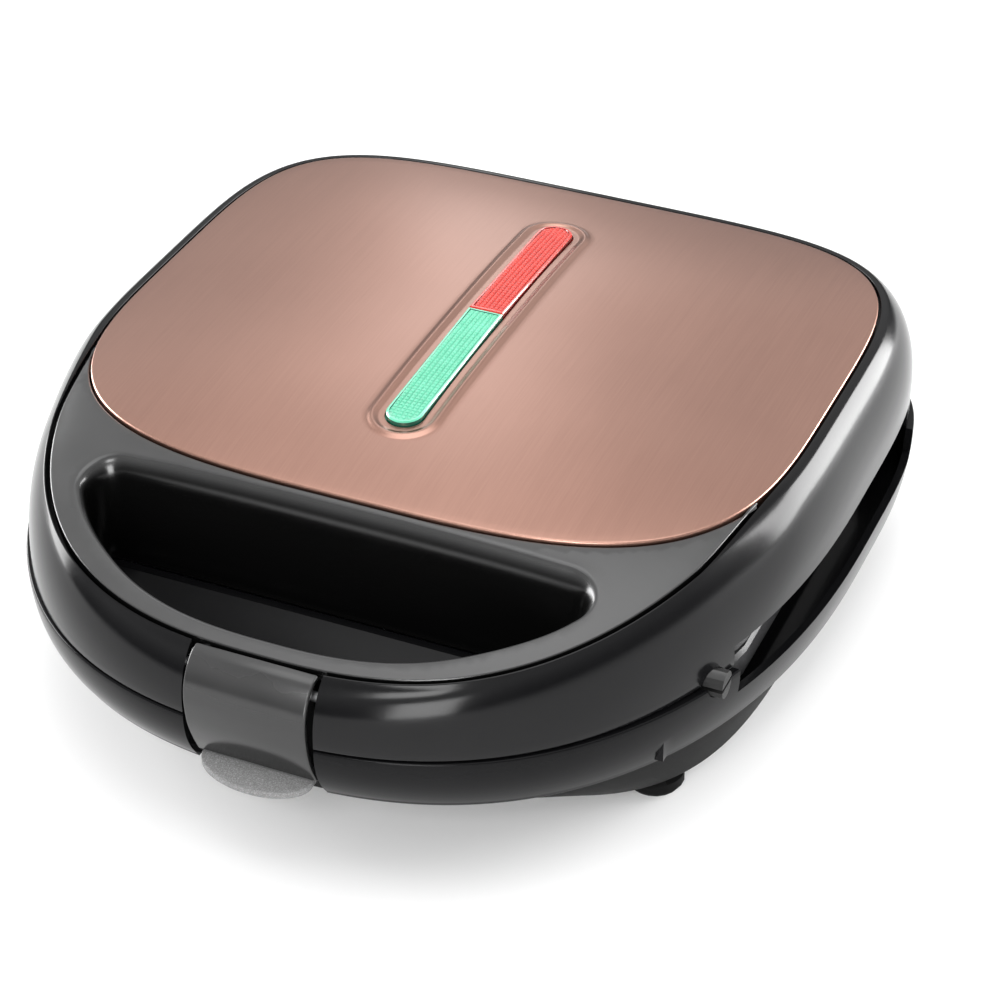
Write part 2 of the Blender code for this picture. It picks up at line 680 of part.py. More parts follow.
def lid_shell():
    angles = [math.tau * i / RING_STEPS for i in range(RING_STEPS)]
    lip = [opening_point(angle) for angle in angles]
    lip_heights = [opening_height(angle) for angle in angles]
    band = []
    band_heights = []
    for i, angle in enumerate(angles):
        share = front_share(angle)
        band.append(grown(lip, mix(BAND_WIDTH, GROOVE_LIP, share))[i])
        band_heights.append(lip_heights[i] - mix(BAND_DROP, GROOVE_LIP / 2, share))
    starts = [mix(SHOULDER_START_BACK, SHOULDER_START_FRONT, front_share(angle)) for angle in angles]
    wall = [shoulder_ring(LID.ring(), band, starts, band_heights, math.radians(angle))
            for angle in SHOULDER_ANGLES]
    wall.append(at_height(LID.ring(), PARTING + PARTING_GAP / 2))
    slot = strip_slot(GAP)
    floors = []
    for share in (0.0, 0.3, 0.65, 1.0):
        ring = [(mix(a[0], b[0], share), mix(a[1], b[1], share)) for a, b in zip(lip, slot)]
        floors.append([(x, y, floor_height(x, y)) for x, y in ring])
    floors[0] = [(x, y, z - RECESS_DEPTH) for (x, y), z in zip(lip, lip_heights)]
    lip_ring = [(x, y, z) for (x, y), z in zip(lip, lip_heights)]
    under = [[(x, y, z - WALL) for x, y, z in ring] for ring in reversed(floors[1:])]
    downs = [WALL * math.sin(math.radians(angle)) for angle in SHOULDER_ANGLES] + [0.0]
    inner = [inner_ring(ring, WALL, down) for ring, down in zip(wall, downs)][1:]
    inner[0] = [(x, y, min(z, floor[2] - WALL)) for (x, y, z), floor in zip(inner[0], floors[0])]
    shell = loft("lid_shell", list(reversed(wall)) + [lip_ring] + floors + under + inner,
                 "gloss_black", joined=True)
    for side in (-1, 1):
        half = LATCH_HALF_WIDTH + LATCH_SIDE_GAP
        inner, outer = sorted((side * (half - GAP), side * (half + CHEEK)))
        front = LATCH_PIN_Y - LATCH_BOSS_RADIUS
        add(shell, box(f"add_cheek_{side}", (inner, front, PARTING + CHEEK + 2 * GAP),
                       (outer, LATCH_NOTCH_Y + GAP, LATCH_PIN_Z + LATCH_BOSS_RADIUS)))
    cut(shell, latch_notch("cut_lid_notch", 2 * GAP), latch_pin_hole("cut_lid_pin_hole"))
    cut(shell, scoop_solid("cut_scoop", SCOOP_WALL + GAP, PARTING - OVERRUN, over_the_crown))
    add_lid_posts(shell)
    cut_side_slots(shell, "lid", PARTING - OVERRUN, SLOT_TOP)
    cut(shell, box("cut_lid_rear", (-LID_HALF_WIDTH - OVERRUN, REAR_STEP_Y, PARTING - OVERRUN),
                   (LID_HALF_WIDTH + OVERRUN, LID_BACK + OVERRUN, LID_REAR_EDGE)))
    cut(shell, release_hole("cut_lid_release"))
    return shell


def latch_notch(name, deeper=0.0):
    half = LATCH_HALF_WIDTH + LATCH_SIDE_GAP
    return box(name, (-half, LID_FRONT - OVERRUN, SKIN_LOW - OVERRUN),
               (half, LATCH_NOTCH_Y + deeper, CROWN_TOP))


def latch_pin_hole(name, radius=LATCH_PIN_RADIUS + GAP):
    half = LATCH_HALF_WIDTH + LATCH_SIDE_GAP + CHEEK - GAP
    return rod(name, radius, -half, half, "bare_metal", (0.0, LATCH_PIN_Y, LATCH_PIN_Z), "X")


def cut_side_slots(shell, name, low, high):
    for side in (-1, 1):
        inner, outer = sorted((side * (BASE_HALF_WIDTH - SLOT_DEPTH),
                               side * (BASE_HALF_WIDTH + OVERRUN)))
        cut(shell, box(f"cut_{name}_slot_{side}", (inner, SLOT_FRONT, low), (outer, SLOT_BACK, high)))


def release_hole(name):
    return rod(name, RELEASE_RADIUS + 2 * GAP, RELEASE_NECK - OVERRUN, RELEASE_TIP + OVERRUN,
               "dark_plastic", (0.0, RELEASE_Y, PARTING), "X", 16)


def from_parting(side, distance):
    """A height measured away from the parting plane, up in the lid and down in the base."""
    return PARTING + side * distance


def span(side, near, far):
    return sorted((from_parting(side, near), from_parting(side, far)))


FLANGE_NEAR = PLATE_FACE + PLATE_DEPTH + FLANGE_LIFT
FLANGE_FAR = FLANGE_NEAR + SHEET
SCREW_PLACES = [(x, y) for x in (-SCREW_X, SCREW_X) for y in (SCREW_FRONT, SCREW_BACK)]
BLOCK_FRONT = LEAD_BACK + GAP


def screw_cutters(name, side, near, far):
    low, high = span(side, near, far)
    return [rod(f"{name}_{i}", SCREW_RADIUS + GAP, low, high, "bare_metal", (x, y, 0.0))
            for i, (x, y) in enumerate(SCREW_PLACES)]


def add_lid_posts(shell):
    """The web over the reflector, screw posts and the pads of the hinge ears."""
    low = from_parting(1, FLANGE_FAR + GAP)
    rim = grown(LID.ring(), -SKIN_SIDE_TUCK)
    deck = carrier_deck("lid", rim, low, low + WALL, SCOOP_REAR + 2 * GAP)
    for side in (-1, 1):
        inner, outer = ear_span(side)
        cut(deck, box(f"cut_deck_ear_{side}",
                      (inner - GAP, HINGE_Y - HINGE_EAR_DEPTH - GAP, low - OVERRUN),
                      (outer + GAP, LID_BACK + OVERRUN, low + OVERRUN)))
    add(shell, deck)
    for i, (x, y) in enumerate(SCREW_PLACES):
        add(shell, rod(f"add_lid_post_{i}", POST_RADIUS, low, floor_height(x, y) - WALL / 2,
                       "dark_plastic", (x, y, 0.0)))
    for side in (-1, 1):
        inner, outer = ear_span(side)
        pad_y = HINGE_Y - HINGE_EAR_DEPTH / 2
        pad_top = floor_height(outer, pad_y) - WALL / 2
        add(shell, box(f"add_ear_pad_{side}",
                       (inner - WALL, pad_y - HINGE_EAR_DEPTH / 3, HINGE_EAR_TOP + GAP),
                       (outer + WALL, pad_y + HINGE_EAR_DEPTH / 3, pad_top)))
    cut(shell, *screw_cutters("cut_lid_screw", 1, FLANGE_FAR, FLANGE_FAR + SCREW_LENGTH))


def ear_span(side):
    near = HINGE_ARM_X + HINGE_ARM_WIDTH / 2 + GAP
    return sorted((side * near, side * (near + HINGE_EAR_WIDTH)))


def handle_deck():
    """The crescent in front of the panel, with the walls of the finger scoop below it."""
    columns, rows = 26, 4
    first, last = math.radians(DECK_TIP_ANGLE - 180), math.radians(-DECK_TIP_ANGLE)
    bm = bmesh.new()
    top, bottom = [], []
    for i in range(columns + 1):
        angle = mix(first, last, i / columns)
        panel_x, panel_y = PANEL.point(angle)
        reveal = PANEL_REVEAL - GAP
        near = (panel_x + math.cos(angle) * reveal, panel_y + math.sin(angle) * reveal)
        far = opening_point(angle, PANEL_REVEAL * 1.6)
        for layer, drop in ((top, 0.0), (bottom, DECK_THICKNESS)):
            row = []
            for j in range(rows + 1):
                x, y = mix(near[0], far[0], j / rows), mix(near[1], far[1], j / rows)
                row.append(bm.verts.new((x, y, deck_height(x, y) - drop)))
            layer.append(row)
    for layer in (top, bottom):
        for i in range(columns):
            for j in range(rows):
                bm.faces.new((layer[i][j], layer[i + 1][j], layer[i + 1][j + 1], layer[i][j + 1]))
    for i in range(columns):
        for j in (0, rows):
            bm.faces.new((top[i][j], top[i + 1][j], bottom[i + 1][j], bottom[i][j]))
    for i in (0, columns):
        for j in range(rows):
            bm.faces.new((top[i][j], top[i][j + 1], bottom[i][j + 1], bottom[i][j]))
    deck = finish("handle_deck", bm, "satin_black")
    low = PARTING + PARTING_GAP / 2
    add(deck, scoop_solid("add_scoop_wall", SCOOP_WALL, low,
                          lambda x, y: deck_height(x, y) - DECK_THICKNESS / 2))
    cut(deck, scoop_solid("cut_deck_scoop", 0.0, PARTING - OVERRUN, over_the_crown),
        latch_notch("cut_deck_notch"))
    return deck


def handle_underside():
    """The plate that closes the handle bar from below, between its two walls."""
    low = PARTING + PARTING_GAP / 2
    steps = 24
    first, last = math.radians(-152), math.radians(-28)
    ring = grown(leaned(scoop_ring(), low), SCOOP_WALL + GAP)
    outer = [LID.point(mix(first, last, i / steps)) for i in range(steps + 1)]
    outer_in = []
    for i, (x, y) in enumerate(outer):
        before, after = outer[max(i - 1, 0)], outer[min(i + 1, steps)]
        along = Vector((after[0] - before[0], after[1] - before[1])).normalized()
        outer_in.append((x - along.y * (WALL + 3 * GAP), y + along.x * (WALL + 3 * GAP)))
    inner = [point for point in ring if point[1] < SCOOP_REAR - SCOOP_CORNER]
    inner = sorted(inner, key=lambda point: -point[0])
    plate = prism("handle_underside", outer_in + inner, low, low + WALL, "satin_black")
    wide = LID_HALF_WIDTH + OVERRUN
    cut(plate, latch_notch("cut_underside_notch"),
        box("cut_underside_ends", (-wide, RELEASE_Y - RELEASE_RADIUS - 3 * GAP, low - OVERRUN),
            (wide, 0.0, low + OVERRUN)))
    return plate


def top_panel():
    """Pressed sheet with turned-down edges and an embossed rim round the indicator."""
    outline = PANEL.ring()
    slot = stadium(LENS_HALF_WIDTH + GAP, STRIP_FRONT - GAP, STRIP_BACK + GAP)
    rims = [grown(slot, offset) for offset in EMBOSS_OFFSETS]

    def crowned(ring, rise):
        return [(x, y, crown_height(x, y) + rise) for x, y in ring]

    def between(share):
        return [(mix(a[0], b[0], share), mix(a[1], b[1], share)) for a, b in zip(rims[-1], outline)]

    edge = PANEL_EDGE_HEIGHT
    inside = grown(outline, -SHEET)
    upper = [crowned(slot, 0.0), crowned(rims[0], 0.0), crowned(rims[1], EMBOSS_RISE),
             crowned(rims[2], EMBOSS_RISE), crowned(rims[3], 0.0), crowned(between(0.3), 0.0),
             crowned(between(0.6), 0.0), crowned(between(0.85), 0.0),
             crowned(grown(outline, -2 * PANEL_EDGE_ROUND), 0.0)]
    edges = [at_height(outline, edge - PANEL_EDGE_ROUND), at_height(outline, edge - PANEL_SKIRT),
             at_height(inside, edge - PANEL_SKIRT), at_height(inside, edge - PANEL_EDGE_ROUND - SHEET)]
    lower = [crowned(between(0.85), -SHEET), crowned(between(0.6), -SHEET), crowned(between(0.3), -SHEET),
             crowned(rims[3], -SHEET), crowned(slot, -SHEET)]
    return loft("top_panel", upper + edges + lower, "copper", joined=True)


def lens(name, front, back, round_front, material):
    """Half of the indicator strip: a raised bar on a flange, round at one end."""
    flange_low, flange_high = LENS_RISE + LENS_FLANGE / 2, LENS_FLANGE
    chamfer = LENS_RISE / 4
    steps = 8
    stations = []
    for i in range(steps + 1):
        share = math.sin(math.pi / 2 * i / steps)
        stations.append((share, math.sqrt(max(1 - share * share, LENS_TIP_SHARE ** 2))))
    end, joint = (front, back) if round_front else (back, front)
    inward = 1 if round_front else -1
    rows = [(joint, 1.0), (mix(joint, end + inward * LENS_HALF_WIDTH, 0.5), 1.0)]
    rows += [(end + inward * LENS_HALF_WIDTH * (1 - share), width) for share, width in stations]
    rings = []
    for y, width in rows:
        half, wide = LENS_HALF_WIDTH * width, (LENS_HALF_WIDTH + LENS_FLANGE * 0.7) * width
        narrow = max(half - chamfer, half / 2)
        top = crown_height(0.0, y)
        right = [(wide, -flange_low), (wide, -flange_high), (half, -flange_high),
                 (half, LENS_RISE - chamfer), (narrow, LENS_RISE)]
        section = right + [(-x, z) for x, z in reversed(right)]
        rings.append([(x, y, top + z) for x, z in section])
    return loft(name, rings, material)


def lens_carrier():
    """Trough under the strip that holds both lenses and their lamps."""
    outer = strip_slot(0.0)
    flange = strip_slot(CARRIER_FLANGE)
    inner = strip_slot(-WALL * 0.9)
    low = CROWN_TOP - CARRIER_DEPTH

    def crowned(ring, drop):
        return [(x, y, crown_height(x, y) - drop) for x, y in ring]

    under = RECESS_DEPTH - GAP * 1.5
    over = RECESS_DEPTH - SHEET - GAP * 1.5
    mouth = LENS_RISE + LENS_FLANGE / 2 + GAP
    rings = [at_height(outer, low), crowned(outer, under), crowned(flange, under),
             crowned(flange, over), crowned(outer, over), crowned(outer, mouth),
             crowned(inner, mouth), at_height(inner, low + WALL / 2)]
    return loft("lens_carrier", rings, "dark_plastic")


def lamp(name, y):
    half, tip = LAMP_LENGTH / 2, LAMP_RADIUS / 3
    profile = [(tip, -half), (LAMP_RADIUS, -half + LAMP_RADIUS), (LAMP_RADIUS, half - LAMP_RADIUS),
               (tip, half)]
    z = CROWN_TOP - CARRIER_DEPTH + WALL / 2 + GAP + LAMP_RADIUS
    return turned(name, profile, "lamp_glass", (0.0, y, z), "Y", 10)


def base_skin():
    """Outer wall of the base with the handle's dish, an inner deck and the hinge arms."""
    height = PARTING - PARTING_GAP / 2 - SKIN_LOW
    shares = (0.0, 0.3, 0.55, 0.8, 1.0)
    outer = []
    for share in shares:
        tuck = share ** 2.2
        ring = [(mix(a[0], b[0], tuck), mix(a[1], b[1], tuck))
                for a, b in zip(BASE.ring(), SKIN_FOOT.ring())]
        outer.append(at_height(ring, SKIN_LOW + height * (1 - share)))
    inner = [inner_ring(ring, WALL, 0.0) for ring in reversed(outer)]
    skin = loft("base_skin", outer + inner, "gloss_black", joined=True)
    front = APRON_REAR + WALL / 2
    add(skin, apron(), carrier_deck("base", SKIN_FOOT.ring(), DECK_TOP - WALL, DECK_TOP, front))
    add(skin, keeper_wall())
    for i, (x, y) in enumerate(SCREW_PLACES):
        add(skin, rod(f"add_base_post_{i}", POST_RADIUS, DECK_TOP - SCREW_LENGTH - WALL / 2,
                      DECK_TOP - WALL / 2, "dark_plastic", (x, y, 0.0)))
    for i, (x, y) in enumerate(BOTTOM_SCREW_PLACES):
        add(skin, rod(f"add_cover_post_{i}", POST_RADIUS, TUB_FLOOR + WALL + GAP,
                      DECK_TOP - WALL / 2, "dark_plastic", (x, y, 0.0)))
    half = LATCH_HALF_WIDTH + LATCH_SIDE_GAP
    wide = BASE_HALF_WIDTH + OVERRUN
    cut(skin, box("cut_base_notch", (-half, BASE_FRONT - OVERRUN, SKIN_LOW - OVERRUN),
                  (half, KEEPER_WALL_Y, PARTING + OVERRUN)))
    cut_side_slots(skin, "base", SLOT_BOTTOM, PARTING + OVERRUN)
    cut(skin, box("cut_base_rear", (-wide, REAR_STEP_Y, BASE_REAR_EDGE),
                  (wide, BASE_BACK + OVERRUN, PARTING + OVERRUN)))
    add(skin, rear_wall(), hinge_arm(-1), hinge_arm(1))
    cut(skin, release_hole("cut_base_release"), gland_hole("cut_skin_gland"), hinge_hole("cut_arm_holes"))
    cut(skin, *screw_cutters("cut_base_screw", -1, FLANGE_FAR, FLANGE_FAR + SCREW_LENGTH - WALL / 2))
    cut(skin, block_space("cut_base_block", -1))
    for i, (x, y) in enumerate(BOTTOM_SCREW_PLACES):
        cut(skin, rod(f"cut_post_{i}", SCREW_RADIUS + GAP, TUB_FLOOR,
                      TUB_FLOOR + BOTTOM_SCREW_LENGTH + GAP, "bare_metal", (x, y, 0.0)))
    return skin


def rear_wall():
    """Wall and shelf that close the base behind the plates, under the hinge."""
    top = PARTING - PARTING_GAP / 2
    step_share = (REAR_STEP_Y - BASE_MIDDLE) / BASE.half(True)[0]
    reach = BASE.point(math.asin(step_share ** (BASE_BACK_SQUARENESS / 2)))[0]
    wall = box("add_rear_wall", (-reach + WALL / 2, REAR_STEP_Y - WALL, DECK_TOP - WALL / 2),
               (reach - WALL / 2, REAR_STEP_Y, top))
    inside = BASE_BACK - WALL / 2
    shelf = box("add_rear_shelf", (-HINGE_ARM_X - WALL, REAR_STEP_Y - WALL / 2, BASE_REAR_EDGE - WALL),
                (HINGE_ARM_X + WALL, inside - WALL, BASE_REAR_EDGE))
    return add(wall, shelf)


def block_space(name, side):
    low, high = span(side, FLANGE_FAR - BLOCK_HEIGHT - GAP, FLANGE_FAR + GAP / 2)
    return box(name, (-BLOCK_LENGTH / 2 - GAP, BLOCK_FRONT - GAP, low),
               (BLOCK_LENGTH / 2 + GAP, BLOCK_FRONT + BLOCK_DEPTH + GAP, high))


BOTTOM_SCREW_PLACES = [
    (-BOTTOM_SCREW_FRONT_X, BOTTOM_SCREW_FRONT),
    (BOTTOM_SCREW_FRONT_X, BOTTOM_SCREW_FRONT),
    (-BOTTOM_SCREW_BACK_X, BOTTOM_SCREW_BACK),
    (BOTTOM_SCREW_BACK_X, BOTTOM_SCREW_BACK),
]


def ear_clear():
    return HINGE_ARM_X + HINGE_ARM_WIDTH / 2 + HINGE_EAR_WIDTH + WALL


def apron():
    """Dished deck of the base under the finger scoop, with its own rear wall."""
    columns, rows = 20, 6
    reach = BASE.half(False)[0]
    inset = WALL / 2
    shrunk = Outline(BASE_HALF_WIDTH - inset, BASE_FRONT + inset, BASE_MIDDLE, BASE_BACK,
                     LID_FRONT_SQUARENESS, BASE_BACK_SQUARENESS)
    along = ((BASE_MIDDLE - APRON_REAR) / (reach - inset)) ** (LID_FRONT_SQUARENESS / 2)
    first = math.asin(along)
    top_height = PARTING - PARTING_GAP / 2
    bm = bmesh.new()
    layers = []
    for drop in (0.0, WALL):
        layer = []
        for i in range(columns + 1):
            angle = mix(-math.pi + first, -first, i / columns)
            front_x, front_y = shrunk.point(angle)
            width = math.sin(math.pi * i / columns)
            row = []
            for j in range(rows + 1):
                share = j / rows
                dish = APRON_DISH * math.sin(math.pi * share) ** 0.8 * width ** 0.5
                y = mix(front_y, APRON_REAR, share)
                row.append(bm.verts.new((front_x, y, top_height - dish - drop)))
            layer.append(row)
        layers.append(layer)
    for layer in layers:
        for i in range(columns):
            for j in range(rows):
                bm.faces.new((layer[i][j], layer[i + 1][j], layer[i + 1][j + 1], layer[i][j + 1]))
    top, bottom = layers
    for i in range(columns):
        for j in (0, rows):
            bm.faces.new((top[i][j], top[i + 1][j], bottom[i + 1][j], bottom[i][j]))
    for i in (0, columns):
        for j in range(rows):
            bm.faces.new((top[i][j], top[i][j + 1], bottom[i][j + 1], bottom[i][j]))
    plate = finish("add_apron", bm, "gloss_black")
    wall_x, _ = shrunk.point(-first)
    add(plate, box("add_apron_wall", (-wall_x, APRON_REAR - GAP, DECK_TOP - WALL),
                   (wall_x, APRON_REAR + WALL, top_height)))
    return plate


def carrier_deck(name, rim, low, high, front):
    """Flat web inside a shell that carries the reflector, open for its bowl and the leads."""
    deck = prism(f"add_{name}_deck", grown(rim, -WALL * 0.7), low, high, "gloss_black")
    inset = (FLANGE_HALF_WIDTH - BOWL_HALF_WIDTH) / 4
    hole = rounded_rectangle(BOWL_HALF_WIDTH + inset / 2, BOWL_FRONT - inset, BOWL_BACK + inset,
                             BOWL_CORNER)
    wide = BASE_HALF_WIDTH + OVERRUN
    return cut(deck, prism(f"cut_{name}_deck", hole, low - OVERRUN, high + OVERRUN, "gloss_black"),
               box(f"cut_{name}_deck_front", (-wide, BASE_FRONT - OVERRUN, low - OVERRUN),
                   (wide, front, high + OVERRUN)),
               box(f"cut_{name}_deck_leads", (-LEAD_NOTCH, BOWL_BACK - OVERRUN, low - OVERRUN),
                   (LEAD_NOTCH, LEAD_BACK + GAP / 2, high + OVERRUN)))


def keeper_wall():
    half = LATCH_HALF_WIDTH + LATCH_SIDE_GAP + WALL
    wall = box("add_keeper_wall", (-half, KEEPER_WALL_Y, SKIN_LOW + WALL),
               (half, KEEPER_WALL_Y + WALL, PARTING - WALL / 2))
    for side in (-1, 1):
        inner, outer = sorted((side * (half - WALL), side * half))
        add(wall, box(f"add_keeper_side_{side}", (inner, BASE_FRONT + SKIN_FRONT_TUCK, SKIN_LOW + WALL),
                      (outer, KEEPER_WALL_Y + GAP, PARTING - WALL / 2)))
    return wall


def hinge_arm(side):
    low_x = side * HINGE_ARM_X - HINGE_ARM_WIDTH / 2
    barrel = []
    for i in range(ROUND_STEPS + 1):
        angle = math.radians(-90 + 180 * i / ROUND_STEPS)
        barrel.append((HINGE_Y + HINGE_ARM_RADIUS * math.cos(angle),
                       HINGE_Z + HINGE_ARM_RADIUS * math.sin(angle)))
    front = HINGE_Y - HINGE_ARM_LENGTH - HINGE_PILLAR_DEPTH / 2
    pillar_back = front + HINGE_PILLAR_DEPTH
    profile = barrel + [(front, HINGE_Z + HINGE_ARM_RADIUS), (front, DECK_TOP - WALL / 2),
                        (pillar_back, DECK_TOP - WALL / 2), (pillar_back, HINGE_Z - HINGE_ARM_RADIUS)]
    return side_profile(f"add_hinge_arm_{side}", profile, low_x, low_x + HINGE_ARM_WIDTH,
                        "gloss_black")


def hinge_hole(name):
    reach = ear_clear() + OVERRUN
    return rod(name, PIN_RADIUS + GAP, -reach, reach, "bare_metal", (0.0, HINGE_Y, HINGE_Z), "X")


def hinge_ear(name, side):
    """Bracket that hangs from the lid's floor to the hinge pin."""
    inner, outer = ear_span(side)
    barrel = []
    for i in range(ROUND_STEPS + 1):
        angle = math.radians(-180 + 180 * i / ROUND_STEPS)
        barrel.append((HINGE_Y + HINGE_ARM_RADIUS * math.cos(angle),
                       HINGE_Z + HINGE_ARM_RADIUS * math.sin(angle)))
    back = HINGE_Y + HINGE_ARM_RADIUS
    profile = barrel + [(back, HINGE_Z + 2 * HINGE_ARM_RADIUS), (HINGE_Y - GAP, HINGE_EAR_TOP),
                        (HINGE_Y - HINGE_EAR_DEPTH, HINGE_EAR_TOP),
                        (HINGE_Y - HINGE_EAR_DEPTH, HINGE_EAR_TOP - WALL)]
    ear = side_profile(name, profile, inner, outer, "bare_metal")
    return cut(ear, hinge_hole(f"cut_{name}"))


def hinge_pin(name, side):
    near = HINGE_ARM_X - HINGE_ARM_WIDTH / 2 - PIN_HEAD_THICKNESS - GAP
    head = near + PIN_HEAD_THICKNESS
    far = HINGE_ARM_X + HINGE_ARM_WIDTH / 2 + HINGE_EAR_WIDTH + 2 * WALL / 3
    profile = [(PIN_HEAD_RADIUS, side * near), (PIN_HEAD_RADIUS, side * head),
               (PIN_RADIUS, side * head), (PIN_RADIUS, side * far)]
    return turned(name, profile, "bare_metal", (0.0, HINGE_Y, HINGE_Z), "X", 12)


def latch_face():
    """Outer face of the latch from the top roll down, as y, z points."""
    depth_shares = (0.0, 0.34, 0.66, 0.90, 1.0, 1.0, 0.90, 0.68)
    height_shares = (0.0, 0.02, 0.10, 0.21, 0.33, 0.46, 0.64, 0.82)
    face = [(mix(LATCH_TOP_Y, LATCH_BULGE_Y, depth), mix(LATCH_TOP, LATCH_BOTTOM, height))
            for depth, height in zip(depth_shares, height_shares)]
    return face + [(LATCH_BOTTOM_Y, LATCH_BOTTOM)]


def inset_path(path, distance):
    """The open path of y, z points moved towards the inside of the latch."""
    moved = []
    last = len(path) - 1
    for i, (y, z) in enumerate(path):
        before, after = path[max(i - 1, 0)], path[min(i + 1, last)]
        along = Vector((after[0] - before[0], after[1] - before[1])).normalized()
        moved.append((y - along.y * distance, z + along.x * distance))
    return moved


def latch_cover():
    face = latch_face()
    inside = inset_path(face, LATCH_COVER)
    profile = face + list(reversed(inside))
    return side_profile("latch_cover", profile, -LATCH_HALF_WIDTH, LATCH_HALF_WIDTH, "satin_black")


def latch_body():
    """Lever inside the cover, with the pin boss, the hook's nose and the thumb tab."""
    half = LATCH_HALF_WIDTH - WALL / 2
    front = inset_path(latch_face(), LATCH_COVER + GAP)[2:]
    nose_y = KEEPER_WALL_Y - KEEPER_LIP_DEPTH - 2 * GAP
    nose_low, nose_high = KEEPER_LIP_Z - GAP - HOOK_HEIGHT, KEEPER_LIP_Z - GAP
    back_y = LATCH_PIN_Y + LATCH_BOSS_RADIUS / 2
    web_y = nose_y - HOOK_REACH
    tab_low = LATCH_BOTTOM - GAP - TAB_THICKNESS
    nose = [(nose_y - GAP, tab_low), (nose_y - GAP, nose_low), (nose_y, nose_high)]
    profile = front + [(front[-1][0], tab_low)] + nose
    profile += [(web_y, nose_high), (web_y, nose_high + HOOK_HEIGHT),
                (back_y, LATCH_PIN_Z - LATCH_BOSS_RADIUS)]
    body = side_profile("latch_body", profile, -half, half, "dark_plastic")
    boss = rod("add_latch_boss", LATCH_BOSS_RADIUS, -half, half, "dark_plastic",
               (0.0, LATCH_PIN_Y, LATCH_PIN_Z), "X", 16)
    add(body, boss, thumb_tab())
    gap = LATCH_BOSS_RADIUS + GAP
    cut(body, latch_pin_hole("cut_latch_pin_hole"),
        box("cut_spring_gap", (-LATCH_HALF_WIDTH / 3, LATCH_PIN_Y - gap, LATCH_PIN_Z - gap),
            (LATCH_HALF_WIDTH / 3, LATCH_NOTCH_Y, LATCH_TOP)))
    return body


def thumb_tab():
    """Half-round tab below the cover, which slopes down towards its tip."""
    steps = 14
    reach = LATCH_BOTTOM_Y - TAB_TIP_Y
    ring = []
    for i in range(steps + 1):
        angle = math.pi * i / steps
        ring.append((-TAB_HALF_WIDTH * math.cos(angle), LATCH_BOTTOM_Y - reach * math.sin(angle)))
    root = KEEPER_WALL_Y - KEEPER_LIP_DEPTH - 4 * GAP
    ring += [(TAB_HALF_WIDTH, root), (-TAB_HALF_WIDTH, root)]
    top = LATCH_BOTTOM - GAP

    def height(y):
        return top - TAB_DROP * max(LATCH_BOTTOM_Y - y, 0.0) / reach

    rings = [[(x, y, height(y) - thickness) for x, y in ring] for thickness in (TAB_THICKNESS, 0.0)]
    return loft("add_thumb_tab", rings, "dark_plastic")


def latch_pin():
    half = LATCH_HALF_WIDTH + LATCH_SIDE_GAP + CHEEK - 2 * GAP
    return rod("latch_pin", LATCH_PIN_RADIUS, -half, half, "bare_metal",
               (0.0, LATCH_PIN_Y, LATCH_PIN_Z), "X")


def coil(name, centre, radius, wire, turns, length, steps=8):
    """A spring wound along X, with its first point at the centre given."""
    curve = bpy.data.curves.new(name, "CURVE")
    curve.dimensions = "3D"
    curve.bevel_depth = wire
    curve.bevel_resolution = 0
    curve.use_fill_caps = True
    line = curve.splines.new("POLY")
    count = turns * steps + 1
    line.points.add(count - 1)
    for i in range(count):
        angle = math.tau * i / steps
        x = centre[0] + length * i / (count - 1)
        line.points[i].co = (x, centre[1] + radius * math.cos(angle),
                             centre[2] + radius * math.sin(angle), 1.0)
    curve.materials.append(material_named("bare_metal"))
    thing = bpy.data.objects.new(name, curve)
    bpy.context.scene.collection.objects.link(thing)
    return thing


def latch_spring():
    length = LATCH_HALF_WIDTH * 2 / 3 - 2 * WALL
    radius = LATCH_PIN_RADIUS + SPRING_WIRE + GAP
    return coil("latch_spring", (-length / 2, LATCH_PIN_Y, LATCH_PIN_Z), radius, SPRING_WIRE,
                SPRING_TURNS, length)


def latch_keeper():
    """Steel strike on the base's notch wall, with the lip that the hook meets."""
    back = KEEPER_WALL_Y - GAP
    profile = [(back, SKIN_LOW + 2 * WALL), (back, PARTING - 2 * WALL),
               (back - SHEET, PARTING - 2 * WALL), (back - SHEET, KEEPER_LIP_Z + KEEPER_LIP_HEIGHT),
               (KEEPER_WALL_Y - KEEPER_LIP_DEPTH, KEEPER_LIP_Z + KEEPER_LIP_HEIGHT / 2),
               (KEEPER_WALL_Y - KEEPER_LIP_DEPTH, KEEPER_LIP_Z), (back - SHEET, KEEPER_LIP_Z),
               (back - SHEET, SKIN_LOW + 2 * WALL)]
    return side_profile("latch_keeper", profile, -KEEPER_HALF_WIDTH, KEEPER_HALF_WIDTH, "bare_metal")


